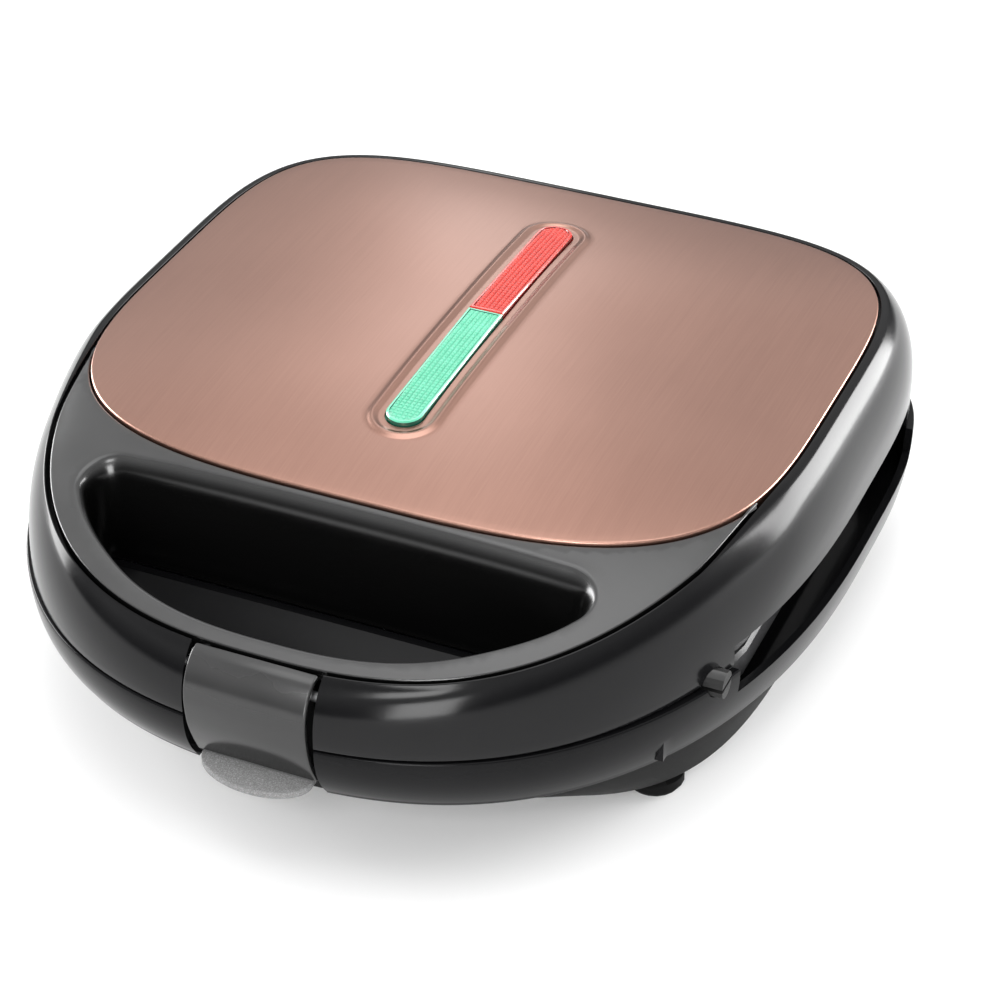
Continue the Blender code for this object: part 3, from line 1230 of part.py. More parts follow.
def bottom_cover():
    """Bowl that closes the base, from inside the skin's foot down to the flat floor."""
    foot = grown(SKIN_FOOT.ring(), -WALL - GAP)
    tuck_in = grown(SKIN_FOOT.ring(), -WALL - 2 * GAP)
    shoulder = Outline(TUB_SHOULDER_HALF_WIDTH, TUB_SHOULDER_FRONT, BASE_MIDDLE, TUB_BACK + WALL,
                       (LID_FRONT_SQUARENESS + TUB_SQUARENESS) / 2, TUB_SQUARENESS).ring()
    tub = Outline(TUB_HALF_WIDTH, TUB_FRONT, BASE_MIDDLE, TUB_BACK, TUB_SQUARENESS, TUB_SQUARENESS).ring()
    floor = grown(tub, -TUB_FLOOR_INSET)
    rim = SKIN_LOW + WALL * 0.7
    outer = [at_height(floor, TUB_FLOOR), at_height(tub, TUB_EDGE), at_height(shoulder, TUB_SHOULDER),
             at_height(tuck_in, SKIN_LOW - WALL / 2), at_height(foot, rim)]
    inner = [at_height(grown(foot, -WALL), rim), at_height(grown(tuck_in, -WALL), SKIN_LOW),
             at_height(grown(shoulder, -WALL), TUB_SHOULDER + WALL / 2),
             at_height(grown(tub, -WALL), TUB_EDGE + WALL),
             at_height(grown(floor, -WALL / 2), TUB_FLOOR + WALL)]
    cover = loft("bottom_cover", outer + inner, "dark_plastic")
    for i, (x, y) in enumerate(FOOT_PLACES):
        cut(cover, rod(f"cut_foot_{i}", FOOT_STEM + GAP, TUB_FLOOR - OVERRUN, TUB_FLOOR + OVERRUN,
                       "rubber", (x, y, 0.0)))
    for i, (x, y) in enumerate(BOTTOM_SCREW_PLACES):
        cut(cover, rod(f"cut_cover_screw_{i}", SCREW_RADIUS + GAP, TUB_FLOOR - OVERRUN,
                       TUB_FLOOR + WALL + GAP * 2, "rubber", (x, y, 0.0)))
    cut(cover, gland_hole("cut_cover_gland"))
    return cover


FOOT_PLACES = [(x, y) for x in (-FOOT_X, FOOT_X) for y in (FOOT_FRONT, FOOT_BACK)]


def foot(name, x, y):
    top = TUB_FLOOR - GAP
    profile = [(FOOT_RADIUS * 0.88, 0.0), (FOOT_RADIUS, top / 3), (FOOT_RADIUS, top), (FOOT_STEM, top),
               (FOOT_STEM, TUB_FLOOR + WALL + GAP), (FOOT_STEM / 2, TUB_FLOOR + WALL + FOOT_STEM)]
    return turned(name, profile, "rubber", (x, y, 0.0), "Z", 20)


def screw(name, x, y, seat, direction, length):
    """A pan-head screw whose head rests on seat and whose shank points along direction."""
    head_far = seat - direction * (SCREW_HEAD + GAP)
    head_near = seat - direction * GAP
    profile = [(SCREW_HEAD_RADIUS * 0.7, head_far),
               (SCREW_HEAD_RADIUS, head_far + direction * SCREW_HEAD / 2),
               (SCREW_HEAD_RADIUS, head_near), (SCREW_RADIUS, head_near),
               (SCREW_RADIUS, seat + direction * length)]
    return turned(name, profile, "bare_metal", (x, y, 0.0), "Z", 10)


def gland_hole(name):
    return rod(name, GLAND_RADIUS + GAP, BASE_BACK - 5 * OVERRUN, BASE_BACK + OVERRUN, "rubber",
               (GLAND_X, 0.0, GLAND_Z), "Y", 16)


def cord_gland():
    """Empty rubber gland in the rear wall, where the cord would leave."""
    face = gland_face()
    profile = [(GLAND_RADIUS * 0.8, face - GLAND_LENGTH), (GLAND_RADIUS, face - GLAND_LENGTH / 2),
               (GLAND_RADIUS, face), (GLAND_FLANGE, face + GAP), (GLAND_FLANGE, face + WALL),
               (GLAND_RADIUS * 0.9, face + WALL + GAP), (GLAND_RADIUS * 0.7, face + GLAND_LENGTH / 3)]
    gland = turned("cord_gland", profile, "rubber", (GLAND_X, 0.0, GLAND_Z), "Y", 16)
    bore = rod("cut_gland_bore", GLAND_RADIUS / 2, BASE_BACK - 5 * OVERRUN,
               BASE_BACK + 5 * OVERRUN, "rubber", (GLAND_X, 0.0, GLAND_Z), "Y", 12)
    return cut(gland, bore)


def gland_face():
    """y of the bottom cover's outer face at the gland's height."""
    share = (GLAND_Z + GLAND_FLANGE - TUB_SHOULDER) / (SKIN_LOW - WALL / 2 - TUB_SHOULDER)
    return mix(TUB_BACK + WALL, BASE_BACK - SKIN_SIDE_TUCK, min(share, 1.0)) + GAP


def waffle_lines(low, high, count):
    """Lines across one bed: the foot and the top of each stud's two slopes."""
    pitch = (high - low - STUD_GAP) / count
    lines = [(low, False)]
    for i in range(count):
        start = low + STUD_GAP + pitch * i
        stop = start + pitch - STUD_GAP
        lines += [(start, False), (start + STUD_SLOPE, True), (stop - STUD_SLOPE, True), (stop, False)]
    return lines + [(high, False)]


def waffle_bed(name, side, low_x, high_x, front, back):
    """Cutter of one cooking bed: a block whose far face carries the studs as hollows."""
    mouth = from_parting(side, PLATE_FACE - 2 * GAP)
    floor = from_parting(side, PLATE_FACE + PLATE_DEPTH - PLATE_WEB)
    stud = from_parting(side, PLATE_FACE + STUD_DROP)
    xs = waffle_lines(low_x, high_x, STUD_COLUMNS)
    ys = waffle_lines(front, back, STUD_ROWS)
    bm = bmesh.new()
    grid = [[bm.verts.new((x, y, stud if top_x and top_y else floor)) for y, top_y in ys]
            for x, top_x in xs]
    for i in range(len(xs) - 1):
        for j in range(len(ys) - 1):
            corners = [grid[i][j], grid[i + 1][j], grid[i + 1][j + 1], grid[i][j + 1]]
            raised = [k for k, (tx, ty) in enumerate(((i, j), (i + 1, j), (i + 1, j + 1), (i, j + 1)))
                      if xs[tx][1] and ys[ty][1]]
            if len(raised) == 1:
                k = raised[0]
                turned_corners = corners[k:] + corners[:k]
                bm.faces.new((turned_corners[0], turned_corners[1], turned_corners[2]))
                bm.faces.new((turned_corners[0], turned_corners[2], turned_corners[3]))
            else:
                bm.faces.new(corners)
    flare = STUD_SLOPE
    rim = {}
    for i, (x, _) in enumerate(xs):
        for j, (y, _) in enumerate(ys):
            if i in (0, len(xs) - 1) or j in (0, len(ys) - 1):
                out_x = -flare if i == 0 else flare if i == len(xs) - 1 else 0.0
                out_y = -flare if j == 0 else flare if j == len(ys) - 1 else 0.0
                rim[i, j] = bm.verts.new((x + out_x, y + out_y, mouth))
    last_i, last_j = len(xs) - 1, len(ys) - 1
    loop = [(i, 0) for i in range(last_i)] + [(last_i, j) for j in range(last_j)]
    loop += [(i, last_j) for i in range(last_i, 0, -1)] + [(0, j) for j in range(last_j, 0, -1)]
    for k, place in enumerate(loop):
        ahead = loop[(k + 1) % len(loop)]
        bm.faces.new((grid[place[0]][place[1]], grid[ahead[0]][ahead[1]], rim[ahead], rim[place]))
    bm.faces.new([rim[place] for place in loop])
    bmesh.ops.recalc_face_normals(bm, faces=bm.faces)
    bmesh.ops.dissolve_limit(bm, angle_limit=math.radians(0.5), verts=bm.verts, edges=bm.edges)
    return finish(name, bm, "non_stick", merge=False)


def plate(name, side):
    """Cast waffle plate: a rim, two beds of tapered studs and the tabs that hold it."""
    rings = []
    for distance, draft in ((PLATE_FACE, PLATE_DRAFT), (PLATE_FACE + PLATE_DRAFT, 0.0),
                            (PLATE_FACE + PLATE_DEPTH, PLATE_DRAFT)):
        ring = rounded_rectangle(PLATE_HALF_WIDTH - draft, PLATE_FRONT + draft,
                                 PLATE_BACK - draft, PLATE_CORNER)
        rings.append(at_height(ring, from_parting(side, distance)))
    casting = loft(name, rings, "non_stick")
    tab_far = PLATE_FACE + PLATE_DEPTH - GAP
    low, high = span(side, tab_far - TAB_HEIGHT, tab_far)
    for i, x in enumerate((-HOOK_X, HOOK_X)):
        add(casting, box(f"add_{name}_tab_{i}", (x - HOOK_WIDTH / 2, PLATE_BACK - 2 * PLATE_DRAFT, low),
                         (x + HOOK_WIDTH / 2, PLATE_BACK + TAB_LENGTH, high)))
    tab_low, tab_high = release_tab_span()
    add(casting, box(f"add_{name}_tab_front", (tab_low, PLATE_FRONT - TAB_LENGTH, low),
                     (tab_high, PLATE_FRONT + 2 * PLATE_DRAFT, high)))
    edge = PLATE_RIM + STUD_SLOPE
    beds = ((-PLATE_HALF_WIDTH + edge, -BED_DIVIDER / 2), (BED_DIVIDER / 2, PLATE_HALF_WIDTH - edge))
    for i, (bed_low, bed_high) in enumerate(beds):
        cut(casting, waffle_bed(f"cut_{name}_bed_{i}", side, bed_low, bed_high,
                                PLATE_FRONT + edge, PLATE_BACK - edge))
    return casting


def release_tab_span():
    low = RELEASE_INNER + RELEASE_TRAVEL
    return low + RELEASE_LIP / 4, low + RELEASE_LIP + RELEASE_TRAVEL


def reflector(name, side):
    """Pressed tray behind the element, with a flat flange and a stop for the release."""
    near = from_parting(side, FLANGE_NEAR)
    far = from_parting(side, FLANGE_FAR)
    bowl = rounded_rectangle(BOWL_HALF_WIDTH, BOWL_FRONT, BOWL_BACK, BOWL_CORNER)
    bottom = rounded_rectangle(BOWL_HALF_WIDTH - BOWL_DEPTH / 2, BOWL_FRONT + BOWL_DEPTH / 2,
                               BOWL_BACK - BOWL_DEPTH / 2, BOWL_CORNER)
    flange = rounded_rectangle(FLANGE_HALF_WIDTH, FLANGE_FRONT, FLANGE_BACK, BOWL_CORNER)
    deep = from_parting(side, FLANGE_FAR + BOWL_DEPTH)
    inner_deep = from_parting(side, FLANGE_FAR + BOWL_DEPTH - SHEET)
    rings = [at_height(grown(bottom, -SHEET), inner_deep), at_height(grown(bowl, -SHEET), near),
             at_height(flange, near), at_height(flange, far), at_height(bowl, far), at_height(bottom, deep)]
    tray = loft(name, rings, "bare_metal")
    low, high = span(side, FLANGE_NEAR - PLATE_DEPTH + PLATE_WEB / 2, FLANGE_NEAR + SHEET / 2)
    stop_x = RELEASE_INNER - GAP - SPRING_LENGTH - GAP - SPRING_STOP
    stop_y = RELEASE_Y - RELEASE_BAR_DEPTH / 2
    add(tray, box(f"add_{name}_stop", (stop_x, stop_y - 2 * SPRING_RADIUS, low),
                  (stop_x + SPRING_STOP, stop_y + SPRING_RADIUS, high)))
    cut(tray, *screw_cutters(f"cut_{name}_screw", side, FLANGE_NEAR - OVERRUN, FLANGE_FAR + OVERRUN / 2))
    low, high = span(side, 0.0, FLANGE_FAR + BOWL_DEPTH - 2 * SHEET)
    cut(tray, box(f"cut_{name}_leads", (-LEAD_NOTCH, BOWL_BACK - BOWL_DEPTH * 0.8, low),
                  (LEAD_NOTCH, FLANGE_BACK + OVERRUN, high)))
    return tray


def rounded_path(corners, radius, steps=4):
    """A path through the corners, each turned with an arc."""
    path = [Vector(corners[0])]
    for before, corner, after in zip(corners, corners[1:], corners[2:]):
        corner = Vector(corner)
        back = (Vector(before) - corner).normalized()
        ahead = (Vector(after) - corner).normalized()
        start, stop = corner + back * radius, corner + ahead * radius
        centre = start + ahead * radius
        for i in range(steps + 1):
            angle = math.pi / 2 * i / steps
            path.append(centre - ahead * radius * math.cos(angle) - back * radius * math.sin(angle))
        path[-1] = stop
    return path + [Vector(corners[-1])]


def element(name, side):
    """Tubular heater bent into one loop, with both leads out at the back."""
    z = from_parting(side, PLATE_FACE + PLATE_DEPTH + GAP + ELEMENT_RADIUS)
    corners = [(-LEAD_X, LEAD_BACK), (-LEAD_X, ELEMENT_BACK - ELEMENT_BEND),
               (-ELEMENT_HALF_WIDTH, ELEMENT_BACK - ELEMENT_BEND), (-ELEMENT_HALF_WIDTH, ELEMENT_FRONT),
               (ELEMENT_HALF_WIDTH, ELEMENT_FRONT), (ELEMENT_HALF_WIDTH, ELEMENT_BACK - ELEMENT_BEND),
               (LEAD_X, ELEMENT_BACK - ELEMENT_BEND), (LEAD_X, LEAD_BACK)]
    path = rounded_path([(x, y, z) for x, y in corners], ELEMENT_BEND)
    curve = bpy.data.curves.new(name, "CURVE")
    curve.dimensions = "3D"
    curve.bevel_depth = ELEMENT_RADIUS
    curve.bevel_resolution = 2
    curve.use_fill_caps = True
    line = curve.splines.new("POLY")
    line.points.add(len(path) - 1)
    for point, place in zip(line.points, path):
        point.co = (*place, 1.0)
    curve.materials.append(material_named("bare_metal"))
    thing = bpy.data.objects.new(name, curve)
    bpy.context.scene.collection.objects.link(thing)
    return thing


def element_stand(name, side, x):
    low, high = span(side, PLATE_FACE + PLATE_DEPTH + 2 * GAP + 2 * ELEMENT_RADIUS,
                     FLANGE_FAR + BOWL_DEPTH - SHEET - GAP)
    half = STAND_SIZE / 2
    return box(name, (x - half, ELEMENT_FRONT - half, low),
               (x + half, ELEMENT_FRONT + half, high), "bare_metal")


def terminal_block(name, side):
    low, high = span(side, FLANGE_FAR - BLOCK_HEIGHT, FLANGE_FAR)
    block = box(name, (-BLOCK_LENGTH / 2, BLOCK_FRONT, low),
                (BLOCK_LENGTH / 2, BLOCK_FRONT + BLOCK_DEPTH, high), "ceramic")
    for i, x in enumerate((-LEAD_X, LEAD_X)):
        outer = from_parting(side, FLANGE_FAR - BLOCK_HEIGHT)
        low, high = sorted((outer - side * OVERRUN, outer + side * BLOCK_HEIGHT / 2))
        cut(block, rod(f"cut_{name}_{i}", BLOCK_DEPTH / 4, low, high, "ceramic",
                       (x, BLOCK_FRONT + BLOCK_DEPTH / 2, 0.0), "Z", 10))
    return block


def plate_hook(name, side, x):
    """Bent strip on the reflector's flange that holds down one rear tab of the plate."""
    back = PLATE_BACK + TAB_LENGTH + GAP
    foot_near = FLANGE_NEAR - GAP - HOOK_SHEET / 2
    tab_near = PLATE_FACE + PLATE_DEPTH - TAB_HEIGHT - GAP
    lip_far = tab_near - GAP
    lip_near = lip_far - HOOK_SHEET
    profile = [(back + HOOK_SHEET, FLANGE_NEAR - GAP), (back, FLANGE_NEAR - GAP), (back, lip_far),
               (PLATE_BACK + 2 * GAP, lip_far), (PLATE_BACK + 2 * GAP, lip_near),
               (back + HOOK_SHEET, lip_near)]
    low, high = span(side, foot_near, FLANGE_NEAR - GAP)
    foot = box(f"add_{name}_foot", (x - HOOK_WIDTH / 2, back - HOOK_SHEET / 2, low),
               (x + HOOK_WIDTH / 2, FLANGE_BACK - WALL / 2, high), "bare_metal")
    hook = side_profile(name, [(y, from_parting(side, distance)) for y, distance in profile],
                        x - HOOK_WIDTH / 2, x + HOOK_WIDTH / 2, "bare_metal")
    return add(hook, foot)


def release_knob(name, side):
    """Half-round thumb knob on a bar, whose lip holds down the plate's front tab."""
    bar_front = RELEASE_Y - RELEASE_RADIUS + GAP
    bar_back = bar_front + RELEASE_BAR_DEPTH
    tab_near = PLATE_FACE + PLATE_DEPTH - TAB_HEIGHT - GAP
    low, high = span(side, tab_near - HOOK_SHEET - GAP, FLANGE_NEAR - 4 * GAP)
    bar = box(name, (RELEASE_INNER, bar_front, low), (RELEASE_NECK, bar_back, high), "dark_plastic")
    low, high = span(side, tab_near - HOOK_SHEET - GAP, tab_near - GAP)
    lip_low = release_tab_span()[1] - RELEASE_LIP
    lip = box(f"add_{name}_lip", (lip_low, bar_back - GAP, low),
              (lip_low + RELEASE_LIP, PLATE_FRONT - 2 * GAP, high))
    half_round = []
    for i in range(ROUND_STEPS + 1):
        angle = math.radians(180 * i / ROUND_STEPS)
        half_round.append((RELEASE_Y + RELEASE_RADIUS * math.cos(angle),
                           from_parting(side, 2 * GAP + (RELEASE_RADIUS - GAP) * math.sin(angle))))
    knob = side_profile(f"add_{name}_knob", half_round, RELEASE_NECK - RELEASE_BAR_DEPTH,
                        RELEASE_TIP, "dark_plastic")
    low, high = span(side, RELEASE_RADIUS / 2, tab_near)
    neck = box(f"add_{name}_neck", (RELEASE_NECK - RELEASE_BAR_DEPTH, bar_front, low),
               (RELEASE_NECK, bar_back, high))
    return add(bar, lip, neck, knob)


def release_spring(name, side):
    x = RELEASE_INNER - GAP - SPRING_LENGTH
    z = from_parting(side, PLATE_FACE + PLATE_DEPTH - TAB_HEIGHT)
    y = RELEASE_Y - RELEASE_BAR_DEPTH / 2
    return coil(name, (x + SPRING_WIRE, y, z), SPRING_RADIUS, SPRING_WIRE, SPRING_TURNS,
                SPRING_LENGTH - 2 * SPRING_WIRE)


def thermostat(name, side):
    low, high = span(side, PLATE_FACE + PLATE_DEPTH + GAP, FLANGE_FAR + BOWL_DEPTH - SHEET - GAP)
    middle = (low + high) / 2
    profile = [(THERMOSTAT_RADIUS, low), (THERMOSTAT_RADIUS, middle), (THERMOSTAT_RADIUS * 0.75, middle),
               (THERMOSTAT_RADIUS * 0.75, high)]
    return turned(name, profile, "bare_metal", (0.0, THERMOSTAT_Y, 0.0), "Z", 16)


def thermal_fuse():
    """Fuse on the upper reflector, held in its clip beside the thermostat."""
    z = from_parting(1, FLANGE_FAR + BOWL_DEPTH - SHEET - GAP - FUSE_RADIUS)
    half = FUSE_LENGTH / 2
    profile = [(FUSE_RADIUS / 2, -half), (FUSE_RADIUS, -half * 0.8), (FUSE_RADIUS, half * 0.8),
               (FUSE_RADIUS / 2, half)]
    return turned("thermal_fuse", profile, "bare_metal", (FUSE_X, THERMOSTAT_Y, z), "X", 12)


def heating_half(prefix, side):
    """Everything between a half's casing and its cooking plate."""
    things = [plate(f"{prefix}_plate", side), reflector(f"{prefix}_reflector", side),
              element(f"{prefix}_element", side), terminal_block(f"{prefix}_terminal_block", side),
              thermostat(f"{prefix}_thermostat", side)]
    for place, x in (("left", -1), ("right", 1)):
        things.append(element_stand(f"{prefix}_element_stand_{place}", side, x * STAND_X))
        things.append(plate_hook(f"{prefix}_plate_hook_{place}", side, x * HOOK_X))
    seat = from_parting(side, FLANGE_NEAR)
    for i, (x, y) in enumerate(SCREW_PLACES):
        things.append(screw(f"{prefix}_screw_{i + 1}", x, y, seat, side, SCREW_LENGTH * 0.7))
    return things


def hang(things, name, centre):
    """Parents things to an empty on their joint's axis, without moving them."""
    empty = bpy.data.objects.new(name, None)
    empty.location = centre
    bpy.context.scene.collection.objects.link(empty)
    for thing in things:
        thing.parent = empty
        thing.matrix_parent_inverse = Matrix.Translation(centre).inverted()
    return empty


def build():
    clear_scene()
    lid = [lid_shell(), handle_deck(), handle_underside(), top_panel(), lens_carrier(),
           lens("lens_green", STRIP_FRONT, STRIP_JOINT - GAP / 2, True, "green_lens"),
           lens("lens_red", STRIP_JOINT + GAP / 2, STRIP_BACK, False, "red_lens"),
           lamp("lamp_green", mix(STRIP_FRONT, STRIP_JOINT, 0.5)),
           lamp("lamp_red", mix(STRIP_JOINT, STRIP_BACK, 0.5)),
           hinge_ear("hinge_ear_left", -1), hinge_ear("hinge_ear_right", 1), latch_pin(), thermal_fuse()]
    lid += heating_half("upper", 1)
    latch = [latch_cover(), latch_body(), latch_spring()]
    upper_release = [release_knob("upper_release_knob", 1)]
    lower_release = [release_knob("lower_release_knob", -1)]
    lid.append(release_spring("upper_release_spring", 1))
    base_skin()
    bottom_cover()
    latch_keeper()
    cord_gland()
    heating_half("lower", -1)
    release_spring("lower_release_spring", -1)
    for side, place in ((-1, "left"), (1, "right")):
        hinge_pin(f"hinge_pin_{place}", side)
    for i, (x, y) in enumerate(FOOT_PLACES):
        foot(f"foot_{i + 1}", x, y)
    for i, (x, y) in enumerate(BOTTOM_SCREW_PLACES):
        screw(f"bottom_screw_{i + 1}", x, y, TUB_FLOOR, 1, BOTTOM_SCREW_LENGTH)
    latch_axis = hang(latch, "latch_axis", (0.0, LATCH_PIN_Y, LATCH_PIN_Z))
    release_axis = hang(upper_release, "upper_release_axis", (RELEASE_TIP, RELEASE_Y, PARTING))
    hang(lid + [latch_axis, release_axis], "lid_axis", (0.0, HINGE_Y, HINGE_Z))
    hang(lower_release, "lower_release_axis", (RELEASE_TIP, RELEASE_Y, PARTING))


build()
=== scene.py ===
"""The looks of a sandwich and waffle maker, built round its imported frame.

The finishes come first, then the pieces that show: the lid's shell, panel, deck and
indicator, the latch, the base and the cooking plates. The studio comes last.
"""

import json
import math
from dataclasses import dataclass

import bmesh
import bpy
from mathutils import Matrix, Vector
from mathutils.geometry import delaunay_2d_cdt


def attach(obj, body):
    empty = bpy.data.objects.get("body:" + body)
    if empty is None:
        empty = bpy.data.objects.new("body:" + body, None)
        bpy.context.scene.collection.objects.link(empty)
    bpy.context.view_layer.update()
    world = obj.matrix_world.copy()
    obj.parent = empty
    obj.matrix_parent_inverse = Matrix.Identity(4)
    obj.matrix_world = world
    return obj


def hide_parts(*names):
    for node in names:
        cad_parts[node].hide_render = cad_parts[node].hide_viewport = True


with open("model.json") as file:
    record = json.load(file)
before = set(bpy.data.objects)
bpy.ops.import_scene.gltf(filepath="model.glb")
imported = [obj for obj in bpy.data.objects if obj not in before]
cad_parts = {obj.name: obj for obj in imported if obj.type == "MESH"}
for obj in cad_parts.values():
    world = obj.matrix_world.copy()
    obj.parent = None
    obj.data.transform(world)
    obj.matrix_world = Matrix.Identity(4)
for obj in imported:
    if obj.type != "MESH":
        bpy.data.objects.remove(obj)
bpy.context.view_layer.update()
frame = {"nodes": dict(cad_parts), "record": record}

# Clearances, walls and the overrun of every cutter, in metres
GAP = 0.0003
WALL = 0.0024
SHEET = 0.0008
OVERRUN = 0.006

# The sizes that lead: the lid from above, the parting plane and the lid's height over it
LID_HALF_WIDTH = 0.1244
LID_FRONT = -0.1350
LID_MIDDLE = 0.0300
LID_BACK = 0.1370
PARTING = 0.0466
PARTING_GAP = 0.0006
LID_HEIGHT = 0.0434
CROWN_TOP = PARTING + LID_HEIGHT
CROWN_DROP = 0.0060
CROWN_POWER = 2.4
PANEL_EDGE_HEIGHT = CROWN_TOP - CROWN_DROP

# Panel, groove and base seen from above, with their margins from the lid's outline
PANEL_SIDE_MARGIN = 0.0124
PANEL_BACK_MARGIN = 0.0118
HANDLE_DEPTH = 0.0667
PANEL_HALF_WIDTH = LID_HALF_WIDTH - PANEL_SIDE_MARGIN
PANEL_FRONT = LID_FRONT + HANDLE_DEPTH
PANEL_MIDDLE = 0.0285
PANEL_BACK = LID_BACK - PANEL_BACK_MARGIN
GROOVE_MARGIN = 0.0093
GROOVE_FRONT = LID_FRONT + GROOVE_MARGIN
GROOVE_MIDDLE = 0.0270
BASE_SIDE_STEP = 0.0030
BASE_BACK_MARGIN = 0.0035
BASE_HALF_WIDTH = LID_HALF_WIDTH + BASE_SIDE_STEP
BASE_FRONT = LID_FRONT
BASE_MIDDLE = 0.0340
BASE_BACK = LID_BACK - BASE_BACK_MARGIN
SKIN_FRONT_TUCK = 0.0070
SKIN_SIDE_TUCK = 0.0021

# How square each half outline is: 2 is an ellipse, more is squarer
PANEL_FRONT_SQUARENESS = 3.42
PANEL_BACK_SQUARENESS = 4.72
GROOVE_SQUARENESS = 2.63
LID_FRONT_SQUARENESS = 2.38
LID_BACK_SQUARENESS = 4.3
BASE_BACK_SQUARENESS = 4.0
TUB_SQUARENESS = 4.0

# Heights of the groove, the skin's foot and the tub
GROOVE_SIDE_DROP = 0.0076
GROOVE_SIDE_HEIGHT = CROWN_TOP - GROOVE_SIDE_DROP
GROOVE_FRONT_DROP = 0.0151
GROOVE_POWER = 2.58
SKIN_DROP = 0.0206
SKIN_LOW = PARTING - SKIN_DROP
TUB_FLOOR = 0.0050
TUB_EDGE_RISE = 0.0030
TUB_EDGE = TUB_FLOOR + TUB_EDGE_RISE
TUB_SHOULDER_RISE = 0.0110
TUB_SHOULDER = TUB_FLOOR + TUB_SHOULDER_RISE

# Lid shell: the band round the panel and the recess that the panel lies in
BAND_WIDTH = 0.0032
BAND_DROP = 0.0009
BAND_POWER = 3.0
GROOVE_LIP = 0.0007
PANEL_REVEAL = 0.0008
RECESS_DEPTH = 0.0042
DECK_THICKNESS = 0.0030
DECK_INSET = 0.00048
PANEL_SKIRT = 0.0036
PANEL_EDGE_ROUND = 0.0006
RING_STEPS = 240
SHOULDER_STEEPEST = 65
SHOULDER_RINGS = 13
SHOULDER_RISE_FRONT = 0.0034
SHOULDER_RISE_BACK = 0.0124
SHOULDER_START_FRONT = PARTING + SHOULDER_RISE_FRONT
SHOULDER_START_BACK = PARTING + SHOULDER_RISE_BACK
DECK_TIP_ANGLE = 20
BLEND_ANGLES = (12, 27)

# Rear step and the hinge
REAR_STEP_MARGIN = 0.0330
REAR_STEP_Y = LID_BACK - REAR_STEP_MARGIN
HINGE_MARGIN = 0.0110
HINGE_RISE = 0.0034
HINGE_Y = LID_BACK - HINGE_MARGIN
HINGE_Z = PARTING + HINGE_RISE
LID_REAR_EDGE = HINGE_Z
BASE_REAR_DROP = 0.0118
BASE_REAR_EDGE = PARTING - BASE_REAR_DROP
HINGE_ARM_X = 0.0660
HINGE_ARM_WIDTH = 0.0120
HINGE_ARM_RADIUS = 0.0050
HINGE_ARM_LENGTH = 0.0150
HINGE_PILLAR_DEPTH = 0.0080
HINGE_EAR_WIDTH = 0.0040
HINGE_EAR_DEPTH = 0.0240
HINGE_EAR_DROP = 0.0165
HINGE_EAR_TOP = CROWN_TOP - HINGE_EAR_DROP
PIN_RADIUS = 0.0020
ROUND_STEPS = 8

# Finger scoop in the handle
SCOOP_SIDE_MARGIN = 0.0254
SCOOP_FRONT_MARGIN = 0.0163
SCOOP_REAR_MARGIN = 0.0047
SCOOP_HALF_WIDTH = LID_HALF_WIDTH - SCOOP_SIDE_MARGIN
SCOOP_FRONT = LID_FRONT + SCOOP_FRONT_MARGIN
SCOOP_REAR = PANEL_FRONT - SCOOP_REAR_MARGIN
SCOOP_CORNER = 0.0070
SCOOP_LEAN = 0.0040
SCOOP_WALL = 0.0022
APRON_SETBACK = 0.0059
APRON_REAR = SCOOP_REAR - APRON_SETBACK
APRON_DISH = 0.0065

# Latch: half width, pivot, and the outer face's places behind the lid's front
LATCH_HALF_WIDTH = 0.0188
LATCH_SIDE_GAP = 0.0015
LATCH_NOTCH_DEPTH = 0.0135
LATCH_NOTCH_Y = LID_FRONT + LATCH_NOTCH_DEPTH
LATCH_PIN_FORWARD = 0.0068
LATCH_PIN_Y = LATCH_NOTCH_Y - LATCH_PIN_FORWARD
LATCH_PIN_RADIUS = 0.0015
LATCH_BOSS_RADIUS = 0.0025
LATCH_COVER = 0.0020
LATCH_TOP_DROP = 0.0230
LATCH_PIN_DROP = 0.0060
LATCH_BOTTOM_DROP = 0.0150
LATCH_TOP = CROWN_TOP - LATCH_TOP_DROP
LATCH_PIN_Z = LATCH_TOP - LATCH_PIN_DROP
LATCH_BOTTOM = PARTING - LATCH_BOTTOM_DROP
LATCH_TOP_INSET = 0.0088
LATCH_BULGE = 0.0009
LATCH_BOTTOM_INSET = 0.0052
LATCH_TOP_Y = LID_FRONT + LATCH_TOP_INSET
LATCH_BULGE_Y = LID_FRONT - LATCH_BULGE
LATCH_BOTTOM_Y = LID_FRONT + LATCH_BOTTOM_INSET
CHEEK = 0.0026
TAB_HALF_WIDTH = 0.0172
TAB_REACH = 0.0020
TAB_TIP_Y = LID_FRONT - TAB_REACH
TAB_DROP = 0.0025
TAB_THICKNESS = 0.0020
KEEPER_FORWARD = 0.0020
KEEPER_WALL_Y = LATCH_NOTCH_Y - KEEPER_FORWARD
KEEPER_LIP_DEPTH = 0.0024

# Indicator strip in the middle of the panel
STRIP_FRONT_MARGIN = 0.0339
STRIP_BACK_MARGIN = 0.0330
GREEN_LENGTH = 0.0650
STRIP_FRONT = PANEL_FRONT + STRIP_FRONT_MARGIN
STRIP_JOINT = STRIP_FRONT + GREEN_LENGTH
STRIP_BACK = PANEL_BACK - STRIP_BACK_MARGIN
LENS_HALF_WIDTH = 0.00575
LENS_RISE = 0.0016
LENS_FLANGE = 0.0012
EMBOSS_START = 0.0023
EMBOSS_STOP = 0.0060
EMBOSS_RISE = 0.0007
CARRIER_HALF_WIDTH = 0.0085
CARRIER_FLANGE = 0.0030

